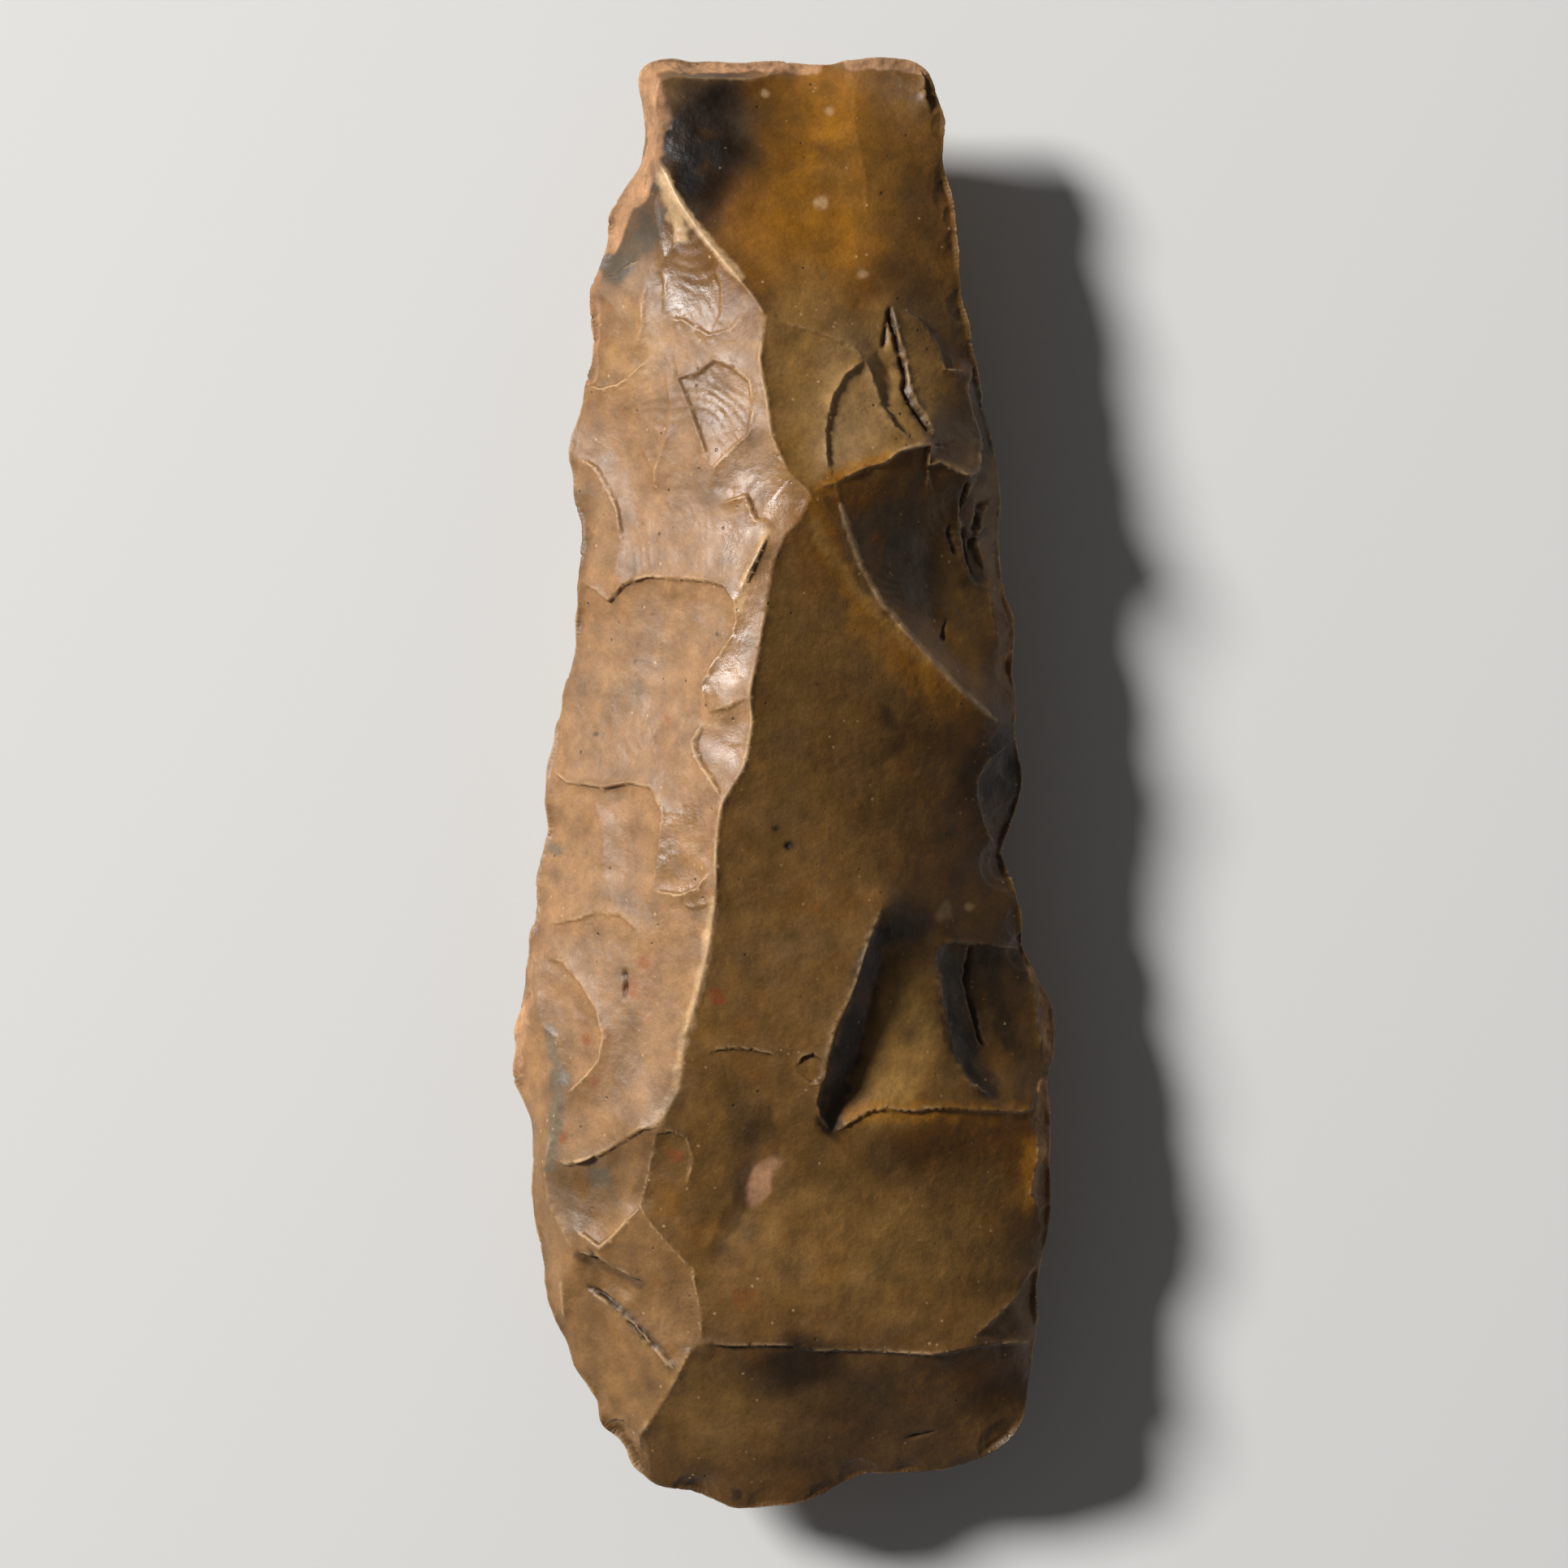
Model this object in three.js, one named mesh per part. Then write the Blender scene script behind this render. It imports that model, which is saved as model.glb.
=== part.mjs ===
// A flaked flint axe head, knapped from one nodule and left unpolished.
//
// The stone lies on its lower face. +Z is up, +Y runs along the axe towards the narrow butt, and
// the broad cutting edge is at -Y. The origin is under the middle of the stone, on its resting facet.
//
// Each face is a film drawn tight over the arrises, the sharp lines where flake scars meet. The film
// is fixed along the outline and along the main arrises. The minor ones stand on it as cusps.

import * as THREE from "three";

// Driving sizes, in millimetres.
const LENGTH = 178.8; // from the butt to the cutting edge
const WIDTH = 67.2; // across the broadest part
const UPPER_RISE = 17.8; // from the edge line up to the top of the spine
const LOWER_DROP = 15; // from the edge line down to the resting facet
const EDGE_WEAVE = 0.7; // how far the edge line strays up and down as it goes round

// How finely the surface is drawn, in millimetres between points.
const RIM_SPACING = 1.5;
const ARRIS_SPACING = 1.5;
const UPPER_FACE_SPACING = 1.95;
const LOWER_FACE_SPACING = 2.25;

// Curvature of each film between its main lines, in 1/mm. It swells a little, as the nodule did.
const UPPER_SWELL = 0.012;
const LOWER_SWELL = 0.006;

// Minor arrises: how far in from the edge of the stone they gain their full height, how far from
// their own ends, the part of it that they have at the very end, and the width of a cusp and a lip.
const EDGE_FADE = 2;
const END_FADE = 2.5;
const END_STRENGTH = 0.35;
const USUAL_REACH = 4;
const LIP_REACH = 1.3;

// The axe as it was drawn. Places below are in millimetres on an axe of these sizes, seen from above,
// and a height is above the edge line. A change of LENGTH or WIDTH stretches the drawing.
const DRAWN = { length: 178.8, width: 67.2, rise: 17.8, drop: 15 };

// The outline, clockwise from the left end of the butt: [x, y, height of the edge there].
const OUTLINE = [
  // Butt.
  [-18, 87.3, 0], [-17.2, 88.8, 0], [-16, 89.4, 0], [-11, 89.2, 0], [-4, 89.2, 0.2], [1, 89.2, 0.4],
  [5, 88.8, 0.7], [9, 89.2, 1], [13.5, 89.4, 1.2], [16.2, 89, 1.2], [17.7, 88, 1.2],
  // Right side, down to the cutting edge.
  [18.5, 86.2, 1.3], [19.2, 84, 1.5], [20, 82, 1.8], [20, 80.2, 2], [19.6, 78.2, 2.2], [19.6, 76.4, 2.4],
  [20.5, 73.6, 2.6], [21.3, 70.8, 2.8], [21.3, 68.5, 2.9], [21.5, 66.4, 3], [21.8, 63, 3],
  [21.8, 60, 2.8],
  [22.9, 56.8, 2.4], [23.3, 53.4, 1.8], [24, 51.3, 1.2], [24.5, 48, 0.5], [25.3, 44.6, 0],
  [26.3, 41, -0.6],
  [26.8, 37, -1], [27, 34.5, -1.2], [26.7, 30.5, -1.4], [27, 26, -1.4], [27.4, 23.6, -1.2],
  [28.4, 21.2, -1], [28.6, 17.5, -0.8], [28.4, 14, -0.6], [28.9, 10.5, -0.4], [28.6, 6.5, 0],
  [29.1, 4.2, 0], [29.7, 0.7, -0.4], [29.3, -1.8, -0.8], [28.4, -4.4, -0.8], [27.4, -7.4, -0.4],
  [27.1, -9, 0.2], [28.2, -11.5, 0.8], [29.1, -14.5, 1], [29.6, -18, 0.8], [29.5, -19.6, 0.2],
  [30.7, -22.2, -0.4], [31.4, -24, -0.8], [33, -26.5, -1], [33.6, -30, -1], [33.4, -33.6, -0.6],
  [32.6, -36.4, 0], [33, -40, 0.6], [32.9, -46, 0.8], [33, -53, 0.6], [32.4, -56.8, 0.2],
  [31.6, -60.6, -0.2], [31.4, -67, -0.6], [30.9, -69.4, -0.6], [30.5, -73, -0.4], [30, -76.4, 0],
  [29.5, -78.6, 0], [28, -80.7, 0], [25.6, -82.5, 0],
  // Cutting edge.
  [22.4, -84, 0], [18, -84.9, 0.2], [10, -85.2, 0.2], [6.5, -86.6, 0], [3.4, -88.3, 0], [-1, -89, -0.2],
  [-5.8, -89.4, -0.2], [-8.4, -88.5, 0], [-11.6, -87.2, 0], [-15, -86.7, 0.2], [-17.3, -85.3, 0.2],
  [-18.9, -84.1, 0],
  // Left side, back up to the butt.
  [-19.4, -82.2, 0], [-20.4, -80.6, 0], [-22.5, -79.4, -0.2], [-22.8, -78.3, -0.2], [-22.8, -76.8, -0.2],
  [-24, -74.2, -0.4], [-26.1, -71.5, -0.4], [-26.5, -69.3, -0.2], [-27.8, -67.3, 0], [-29.3, -62.8, 0.4],
  [-29.7, -58.6, 0.6], [-30.7, -54.6, 0.4], [-31.2, -51.5, 0.2], [-30.9, -46.5, 0], [-31.2, -42, -0.2],
  [-32.2, -38.7, -0.4], [-33.5, -36.2, -0.4], [-33.3, -33.4, -0.2], [-33.2, -29.6, 0], [-32, -25.6, 0.4],
  [-31.9, -23.2, 0.6], [-31.4, -21, 0.6], [-31.4, -18.8, 0.4], [-30.6, -16.4, 0.2], [-30.4, -14, 0],
  [-30.7, -11.8, 0], [-29.7, -7.6, -0.2], [-29, -6, -0.2], [-29.6, -2, 0], [-29.5, 0.3, 0.2],
  [-29.6, 1.8, 0.4], [-28.6, 4.3, 0.2], [-28.4, 6.8, 0], [-27.5, 8.5, -0.2], [-27.3, 12, -0.2],
  [-26, 14.8, -0.2], [-25.7, 20, 0], [-25.5, 25, 0.4], [-25, 31, 0.4], [-25.9, 35.6, 0.2],
  [-26.1, 38.2, 0], [-26.6, 40.2, 0], [-26.2, 43.2, -0.2], [-24.9, 46.6, -0.2], [-24.8, 49, 0],
  [-23.9, 51.6, 0], [-23.6, 54.6, 0.2], [-23.9, 57.6, 0.2], [-23.8, 61.2, 0], [-22.5, 64.4, -0.2],
  [-21.7, 67.4, -0.2], [-21.8, 70.2, 0], [-20.6, 72, 0], [-18.8, 74.9, 0.2], [-17.6, 77, 0.2],
  [-17.3, 81, 0.2], [-17.7, 84.2, 0],
];

// Main lines of the upper face: [x, y, height].
const UPPER_LINES = {
  spine: [
    [-15.9, 76.6, 5.8], [-14.6, 74.6, 6.9], [-12.6, 70.5, 8.6], [-9.5, 66, 10.4], [-6, 61.6, 11.9],
    [-3.4, 58.3, 12.8], [-2.2, 56, 13.1], [-2.9, 51, 13.6], [-2, 46, 14.4], [-1.4, 41.6, 15.1],
    [0.6, 37.2, 15.8], [3.2, 34.6, 16.2], [1.9, 31.6, 16.2], [0.2, 29.9, 16.3], [-1.3, 26.4, 16.4],
    [-2.1, 21.6, 16.7], [-3.1, 15.6, 17], [-4.1, 10.8, 17.2], [-3.8, 7.4, 17.5], [-4.8, 2, 17.7],
    [-7.4, -2.3, 17.6], [-8.1, -8, 17.5], [-8.1, -13, 17.4], [-9.1, -20, 17.1], [-10.3, -25.4, 16.7],
    [-11.9, -30.4, 16], [-12.5, -36.4, 14.9], [-15.2, -41.3, 13.5],
  ],
  buttShoulder: [
    [-15.9, 76.6, 5.8], [-15.4, 79.4, 5.6], [-15.6, 83, 5.3], [-15.2, 86, 4.9], [-9, 86.3, 4.6],
    [-4, 86.4, 3.9], [-1, 87.5, 2.2],
  ],
  bendOfTheFace: [
    [-9.6, -32.3, 16.1], [-8, -31.5, 16], [-5.6, -31.1, 15.9], [-3, -31.9, 15.7], [0.5, -32.9, 15.3],
  ],
  stepLip: [
    [11.8, -14.6, 14.2], [10.8, -17.4, 14.7], [9.4, -21.2, 15], [8.7, -23.8, 15.1], [7.2, -27.2, 15.2],
    [5.9, -30.4, 15.2], [4.9, -34.5, 14.9], [3.9, -38, 14.1], [4.4, -40, 13.4], [5.8, -42.1, 12.5],
  ],
  stepFoot: [
    [13.2, -17, 13.1], [12.2, -20, 12.4], [11.2, -23.6, 12], [10.4, -27.2, 11.7], [9.6, -30.8, 11.4],
    [8.5, -34.6, 11.3], [7.2, -38.6, 11.7], [5.8, -42.1, 12.5],
  ],
  scoopRim: [
    [3.2, 34.6, 16.2], [4.6, 35.7, 15.7], [6.2, 36.1, 15.1], [6.8, 33.4, 14.7], [7.6, 30.6, 14.1],
    [9.3, 26, 13.2], [12, 21.5, 12.2], [16.5, 16.4, 10.4], [21.5, 11.3, 7.6], [25.2, 8.2, 4.6],
    [28.3, 6.9, 1],
  ],
  scoopBrow: [
    [6.2, 36.1, 15.1], [9.6, 37.9, 13.9], [12.2, 38.7, 12.9], [14, 40.1, 12.2], [17.6, 41, 10.4],
    [17.4, 38.6, 9.7], [19, 38.9, 9.2], [20.8, 38.2, 8.1], [22.6, 37.4, 6.9], [24, 38.6, 5],
  ],
  scoopFloor: [
    [21.8, 35, 4.9], [20, 32.4, 5.4], [18.2, 29.2, 5.9], [17.4, 26, 6.3], [17.8, 22.6, 6.4],
    [18.3, 19, 6.6], [20, 16, 6.2], [23.6, 12.6, 4.6],
  ],
  lowerBrow: [
    [5.8, -42.1, 12.5], [7.6, -41, 12.3], [10.2, -39.4, 12], [12.5, -39.1, 11.6], [15.2, -39.5, 10.9],
    [18, -39.2, 10.1], [21, -39.4, 8.9], [26, -39.9, 6.2], [29, -40.2, 4.2], [30.9, -39.6, 2.9],
  ],
  edgeBrow: [
    [-10, -67.7, 9.8], [-6, -67.9, 9.9], [1, -67.9, 9.8], [3, -68.5, 9.6], [10, -68.6, 9.3],
    [18, -69.2, 8.2], [24, -68.4, 6.4], [30.2, -68.6, 2.4],
  ],
  lowerLeftArris: [
    [-10, -67.7, 9.8], [-11.6, -69, 9.2], [-12.5, -70.8, 8.5], [-14, -74, 6.6], [-16.3, -77.8, 4.4],
    [-17.8, -80, 2.8], [-17.9, -82.4, 1.6],
  ],
  innerLeftArris: [
    [-10, -67.7, 9.8], [-10.1, -64, 10.4], [-10.9, -60, 10.9], [-11, -58.7, 11.1], [-13.4, -56.3, 11.2],
    [-16.2, -53, 10.8], [-17.4, -51, 10.6], [-16.7, -48.6, 11.4], [-16, -45, 12.4], [-15.2, -41.3, 13.5],
  ],
  sideStrip: [
    [-31, -19.8, 1], [-30.2, -22.2, 2.6], [-29.9, -29.4, 3.9], [-27.8, -31, 5.3], [-27.4, -34, 5.6],
    [-27.4, -38.6, 5.5], [-28.2, -43, 4.7], [-29.2, -47, 3.6], [-28.7, -51.4, 4], [-26.3, -55.6, 5],
    [-25.1, -58, 5.3],
  ],
};

// Minor arrises of the upper face, laid over the main form. Each is a cusp: rise is its height in
// millimetres, and reach is how far its flanks run out. Where a later flake bit in, the right-hand
// side of the line also drops, as a lip does.
const UPPER_ARRISES = [
  // Left side by the butt: the dark hollow, and the bright scar beside the spine.
  { rise: 0.5, reach: 3, at: [[-16.2, 75], [-15.8, 71.6], [-15.3, 67], [-14.5, 64.2], [-15.6, 62]] },
  { rise: 0.5, drop: 0.5, at: [[-17.2, 64.2], [-19.4, 63.3], [-20.8, 62.3], [-22.8, 62.3]] },
  { rise: 0.7, reach: 3, at: [[-16.8, 62], [-17.3, 58.6], [-17.2, 56], [-18, 53.4], [-18.6, 51.4]] },
  { rise: 0.4, drop: 0.2, at: [[-4.4, 57.2], [-6.4, 54.8], [-9, 54.2], [-12.2, 56.2], [-15.2, 56.8]] },
  // Left side, upper third.
  { rise: 0.6, drop: 0.25, at: [[-15.8, 52.6], [-18.4, 50.2], [-20.4, 48.9], [-22.6, 48.5],
    [-24.6, 49.4]] },
  { rise: 0.5, drop: 0.2, reach: 3, at: [[-9, 38.4], [-10.4, 42.8], [-11.6, 46.2], [-12.9, 49.2],
    [-10.6, 49.6], [-8.4, 51.2], [-6.2, 50.2], [-4.2, 48.4], [-3.6, 45]] },
  { rise: 0.6, reach: 3, at: [[-3.6, 46], [-4.2, 42], [-6, 40.6], [-8.4, 38.2], [-8.6, 35.6]] },
  { rise: 0.7, reach: 4, at: [[-14.4, 50], [-13.6, 46], [-14.2, 42], [-15.6, 38.6], [-16, 35]] },
  { rise: 0.7, drop: 0.25, reach: 4, at: [[-19.8, 29], [-20.4, 33.6], [-21.6, 36.2],
    [-23.2, 38.8], [-25.6, 40.4]] },
  { rise: 0.8, drop: 0.4, at: [[-1.2, 31.2], [-3.4, 31.6], [-4.6, 34.6], [-8, 33.6]] },
  { rise: 1, drop: 0.5, reach: 3, at: [[-5.7, 21.6], [-4.6, 24.2], [-3, 27.4], [-1.6, 30.6]] },
  // Left side, middle: the broad scar with its rounded end.
  { rise: 0.8, drop: 0.35, at: [[-25.2, 25.2], [-23, 23.8], [-21.4, 22.4], [-19.6, 24.4], [-16.6, 25.2],
    [-13, 24.9], [-9.6, 24.6], [-7.2, 23.8], [-5.9, 21.8], [-5.7, 19.6], [-6.4, 17.4], [-8.4, 14.6],
    [-9.7, 12], [-9.4, 8.8]] },
  { rise: 0.8, reach: 3, at: [[-20.8, 23], [-20.4, 26], [-20, 29.6]] },
  { rise: 0.9, drop: 0.3, at: [[-9.4, 8.6], [-6.6, 9.3], [-4.4, 10.4]] },
  { rise: 0.8, drop: 0.4, at: [[-7.4, -1.8], [-8.6, 0.4], [-10.4, 3], [-10.9, 5], [-9.6, 7.6]] },
  // Left side, lower middle: the broad scar below a hinged step.
  { rise: 0.8, drop: 0.35, at: [[-28.9, 1.9], [-26.4, 0.2], [-23.8, -0.1], [-21.8, -0.4], [-18.6, 0.2],
    [-16, -0.4], [-14.5, -3.4], [-15, -7.6], [-15.7, -12.8]] },
  { rise: 0.8, drop: 0.6, at: [[-8.6, -10], [-10.4, -12.4], [-12.4, -13.3], [-15.9, -12.8]] },
  { rise: 0.7, reach: 3, at: [[-23.6, -1], [-22.4, -4], [-21.8, -8], [-22.2, -12]] },
  { rise: 0.6, drop: 0.3, at: [[-29.8, -17.4], [-25, -16.4], [-22.8, -15.5], [-19.8, -15.8],
    [-17.9, -17.4], [-17.4, -20.6]] },
  { rise: 0.8, drop: 0.3, at: [[-29.8, -20.6], [-26.8, -22], [-24.4, -24.6], [-22.6, -27.6],
    [-21.9, -30.4], [-22.4, -33.4], [-24.4, -35.8], [-26.8, -38]] },
  // Lower left, round the dark tongue.
  { rise: 1, drop: 0.3, at: [[-28.6, -45.6], [-26.4, -46.3], [-24, -45.6], [-21.6, -44.4], [-19, -42.7],
    [-17.2, -41.4], [-14.8, -41.2]] },
  { rise: 0.9, drop: 0.7, at: [[-17, -50.8], [-18.6, -52.4], [-20.4, -54.4], [-22.4, -56.2],
    [-24, -55.1], [-26, -54]] },
  { rise: 0.4, drop: 0.2, reach: 3, at: [[-15.9, -42], [-13.6, -41.6], [-11.8, -42.4], [-11, -45],
    [-11.8, -48.6]] },
  { rise: 0.8, drop: 0.9, reach: 3, at: [[-25.4, -56.9], [-22.6, -57.4], [-20.6, -58.6], [-18.6, -59.6],
    [-16.6, -60.4]] },
  { rise: 0.8, drop: 0.5, reach: 3, at: [[-12.9, -71.4], [-15.4, -68.8], [-18, -66], [-21, -63.2],
    [-24.6, -61.4]] },
  { rise: 1, reach: 2.5, at: [[-27.8, -58], [-27.1, -62], [-26.9, -66.6]] },
  // The tongue beside the big step.
  { rise: 0.3, reach: 5, at: [[-1.2, -44.6], [-2.6, -48], [-3.4, -51.6]] },
  // The floor of the step, and the scar beside it.
  { rise: 0.7, drop: 0.9, reach: 5, at: [[25.4, -38.2], [22.4, -36], [20.6, -32.4], [19.6, -28],
    [18.9, -24],
    [18.2, -20.2]] },
  { rise: 0.5, drop: 0.4, at: [[18, -19.9], [20.2, -19.2], [23, -19.5], [26.6, -20], [29.4, -20.2]] },
  { rise: 0.8, reach: 2.5, at: [[30.2, -22.4], [30.8, -26], [31.1, -29], [31.8, -33.4]] },
  { rise: 0.9, reach: 2.5, at: [[31, -41.4], [31, -46], [30.2, -50.2], [31.6, -53]] },
  // Above the cutting edge, on the right.
  { rise: 0.8, drop: 0.8, reach: 3, at: [[23, -67.4], [25.7, -65.5], [28.6, -62.8], [30.4, -60],
    [31.6, -58.6]] },
  // Right side by the butt.
  { rise: 1.1, drop: 0.8, reach: 2.5, at: [[18.2, 82.2], [17.3, 84], [17.2, 86.6], [16.4, 88.5]] },
  { rise: 0.25, reach: 5, at: [[8.6, 85.6], [8.8, 80], [9.9, 74.6], [10.2, 69]] },
  // Right side, upper third: the crescent scars and the cracked strip.
  { rise: 0.4, drop: 0.3, reach: 5, at: [[-1.6, 55.4], [0.4, 55.4], [4, 54.5], [8, 53], [10, 51.2]] },
  { rise: 0.6, drop: 0.3, reach: 5, at: [[5.8, 36.6], [5.1, 39], [5, 42.4], [5.8, 46.4],
    [7.4, 49.4], [10, 51.4]] },
  { rise: 0.8, drop: 0.9, reach: 4, at: [[15.8, 41.2], [13.4, 43], [12, 45.6], [11, 48.6], [10, 51.4]] },
  { rise: 0.9, drop: 0.7, reach: 3, at: [[13, 58.4], [14, 54], [14.8, 50.6], [15.6, 47],
    [17.2, 44.2], [18.4, 41.6]] },
  { rise: 0.5, drop: 0.5, reach: 4, at: [[22.6, 50.4], [19.6, 50.6], [18.6, 53.6], [16.8, 56.2],
    [13.8, 57.8]] },
  { rise: 1.3, drop: 0.8, reach: 3, at: [[23.8, 37.8], [24.1, 42.4], [23, 45.6], [22.4, 48.2],
    [23.5, 52]] },
  // The rough edge beside the scoop.
  { rise: 1, drop: 0.9, reach: 2.5, at: [[23.8, 23.6], [22.8, 26.4], [22.1, 29.6], [21.9, 33.2],
    [22.8, 35.8],
    [24.2, 38.6]] },
  { rise: 0.9, drop: 0.8, reach: 2, at: [[26, 35.6], [24.4, 33], [23.6, 29.6], [25, 26]] },
  { rise: 0.8, reach: 2.5, at: [[25.5, 28.4], [25.2, 24], [25.6, 20.6], [26.4, 16]] },
  // Right side, middle: the dark bite out of the edge.
  { rise: 0.8, drop: 0.8, reach: 4, at: [[26.9, -8.4], [25.2, -6.4], [24.2, -4.2], [23.6, -1.8],
    [23.7, 0.6],
    [25, 2.8], [27.9, 5]] },
];

// Soft valleys of the upper face, with no sharp line in them.
const UPPER_HOLLOWS = [
  { depth: 0.8, width: 4, at: [[-3.2, -40], [-4.6, -45], [-5.6, -50], [-7.4, -55], [-8.4, -59]] },
  { depth: 0.8, width: 3, at: [[-13.2, -20], [-14.6, -27], [-17, -32], [-20.4, -37]] },
  { depth: 0.7, width: 3, at: [[-19.4, 31], [-18.8, 37], [-20.4, 43]] },
  { depth: 0.8, width: 3.5, at: [[-14, 20], [-14, 12], [-16, 5]] },
  { depth: 0.6, width: 3, at: [[-18.6, -4], [-18.4, -11]] },
  { depth: 0.7, width: 2, at: [[-21.4, -48.9], [-24.6, -48.2]] },
  { depth: 0.9, width: 2.2, at: [[-19, -61.6], [-23, -60]] },
  { depth: 0.7, width: 2.4, at: [[-18.4, -69.4], [-22, -66]] },
  { depth: 0.8, width: 2.6, at: [[12.4, 54], [13.2, 49], [15.6, 44.6]] },
  { depth: 0.9, width: 2.6, at: [[21.6, -23], [22.4, -29], [25, -35]] },
  { depth: 0.6, width: 3.2, at: [[8, -47], [18, -50], [24, -56]] },
  { depth: 0.6, width: 4, at: [[2, 76], [6, 66], [8, 60]] },
  { depth: 0.7, width: 2.6, at: [[-19.6, 70], [-17.6, 66]] },
];

// Main lines of the lower face: [x, y, depth below the edge line]. None of them shows from above, so
// they are laid out as on like axes, running from the corners of a flat remnant out to the edges.
const LOWER_LINES = {
  buttRidge: [
    [3, 85.4, 5], [5, 78.5, 7.2], [2, 70, 9.4], [-3, 61, 11], [-4, 53, 12.1], [0.5, 44.5, 13.5],
    [2.6, 35.4, 14.7],
  ],
  buttShoulder: [
    [-14.8, 85, 3.4], [-8, 85.9, 4.6], [3, 85.4, 5], [9, 85.6, 4.6], [15, 84.2, 3.4],
  ],
  buttLeft: [[2, 70, 9.4], [-6, 72.6, 7], [-13.6, 74.4, 4.4]],
  buttRight: [[5, 78.5, 7.2], [11, 77.4, 5.4], [16.4, 74.8, 3.4]],
  upperLeft: [[-3, 61, 11], [-9.6, 59.4, 9.2], [-15, 55.2, 7], [-20.6, 53.4, 3.6]],
  upperRight: [[-4, 53, 12.1], [4, 52.4, 10.6], [12.4, 48, 8], [19.8, 46.6, 4.2]],
  leftOfRemnant: [[-11.4, 20.4, 14.8], [-14.6, 26.4, 11.8], [-19.8, 30.6, 7.6], [-22.8, 33.6, 4.2]],
  rightOfRemnant: [[8.4, 29, 14.8], [12.6, 34.4, 11.6], [18, 35.4, 8], [23.4, 38.4, 3.8]],
  middleLeft: [[-12.4, 5.6, 14.8], [-18, 3.6, 11.4], [-23.4, -2, 7], [-27, -3.6, 3.4]],
  middleRight: [[8.9, 6.4, 14.8], [15, 8.6, 12], [21.6, 6, 7.8], [26.4, 7.6, 3.6]],
  lowerMiddleRight: [[9.4, -12.2, 14.8], [15.6, -16.8, 12], [22.6, -17.4, 8], [27.4, -20.4, 4]],
  lowerMiddleLeft: [[-9.6, -21.6, 14.8], [-16.4, -22.8, 12], [-22, -28, 8.6], [-28.6, -29.6, 4]],
  remnantToEdge: [[-2.6, -31.4, 14.8], [-2, -39, 14.2], [-4.4, -47, 13.4], [0.4, -56, 12], [6.6, -63, 10],
    [4.6, -70.6, 7.8], [-1, -77, 5.4]],
  broadScar: [[5.2, -26.4, 14.8], [11.4, -33.6, 13], [20.4, -39, 9.4], [29, -42.4, 3.8]],
  lowerLeft: [[-4.4, -47, 13.4], [-11, -51, 11.4], [-17.4, -58.4, 8], [-23.6, -62.6, 4.6]],
  nearEdgeRight: [[6.6, -63, 10], [14.4, -64.4, 8.2], [21.8, -69.8, 5.2], [27, -71.2, 3]],
  nearEdgeLeft: [[4.6, -70.6, 7.8], [-4.6, -72.8, 6.8], [-11.8, -78.6, 3.8]],
};

// The flat remnant that the stone lies on. It is LOWER_DROP below the edge line.
const RESTING_FACET = [
  [-5.8, 31.2], [2.6, 35.2], [8.2, 29], [9.6, 17.4], [6.6, 5.2], [9.2, -11.8], [5, -26], [-2.6, -31],
  [-9.4, -21.4], [-7.4, -8.6], [-12.2, 5.8], [-11.2, 20.2],
];

// Lesser scars of the lower face, given as on the upper face.
const LOWER_ARRISES = [
  { rise: 0.7, drop: 0.4, at: [[-19.6, 66.6], [-13.4, 65.4], [-8.4, 68.6]] },
  { rise: 0.6, drop: 0.4, reach: 3, at: [[-15.4, 55], [-12.8, 49.4], [-14.8, 43.4], [-20.4, 39.2]] },
  { rise: 0.8, drop: 0.4, at: [[-23.6, 15.4], [-18.4, 17.4], [-14.6, 15]] },
  { rise: 0.6, reach: 3, at: [[-24, 23.4], [-20.6, 21.8], [-17.8, 18]] },
  { rise: 0.8, drop: 0.4, at: [[-28.2, -13.4], [-22.6, -11], [-16.6, -12.6], [-13.4, -17]] },
  { rise: 0.7, drop: 0.3, at: [[-21.8, -28.4], [-18.6, -34.6], [-20.4, -41.4], [-28.6, -44.6]] },
  { rise: 0.7, drop: 0.4, at: [[-28.4, -53], [-23, -50.2], [-17.6, -52.6]] },
  { rise: 0.6, reach: 3, at: [[-21.4, -74], [-15.4, -69.4], [-9, -67]] },
  { rise: 0.6, drop: 0.3, at: [[18.8, 66.8], [12, 64.6], [6.6, 66.4]] },
  { rise: 0.8, drop: 0.4, at: [[18.8, 56.6], [13, 58.4], [6.4, 55.8]] },
  { rise: 0.7, drop: 0.4, at: [[24.6, 26.4], [19.4, 24.4], [14, 26.8]] },
  { rise: 0.6, reach: 3, at: [[25.6, 16.4], [20.4, 17.8], [15.6, 15.2]] },
  { rise: 0.8, drop: 0.4, at: [[26.4, -5.6], [20.4, -4.4], [14.4, -7.4]] },
  { rise: 0.7, drop: 0.4, at: [[22.4, -17.6], [20, -23.4], [22.8, -29.4], [30, -31.4]] },
  { rise: 0.8, drop: 0.5, at: [[29.8, -57], [22.6, -55.2], [15.4, -57.6], [9.8, -53.4]] },
  { rise: 0.6, reach: 3, at: [[17.6, -81.8], [15.8, -76.6], [11.6, -73]] },
  { rise: 0.6, reach: 3, at: [[3.4, -84.6], [4.4, -79.6], [2, -75.4]] },
];

const toPart = {
  x: WIDTH / DRAWN.width,
  y: LENGTH / DRAWN.length,
  up: UPPER_RISE / DRAWN.rise,
  down: LOWER_DROP / DRAWN.drop,
};

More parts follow.
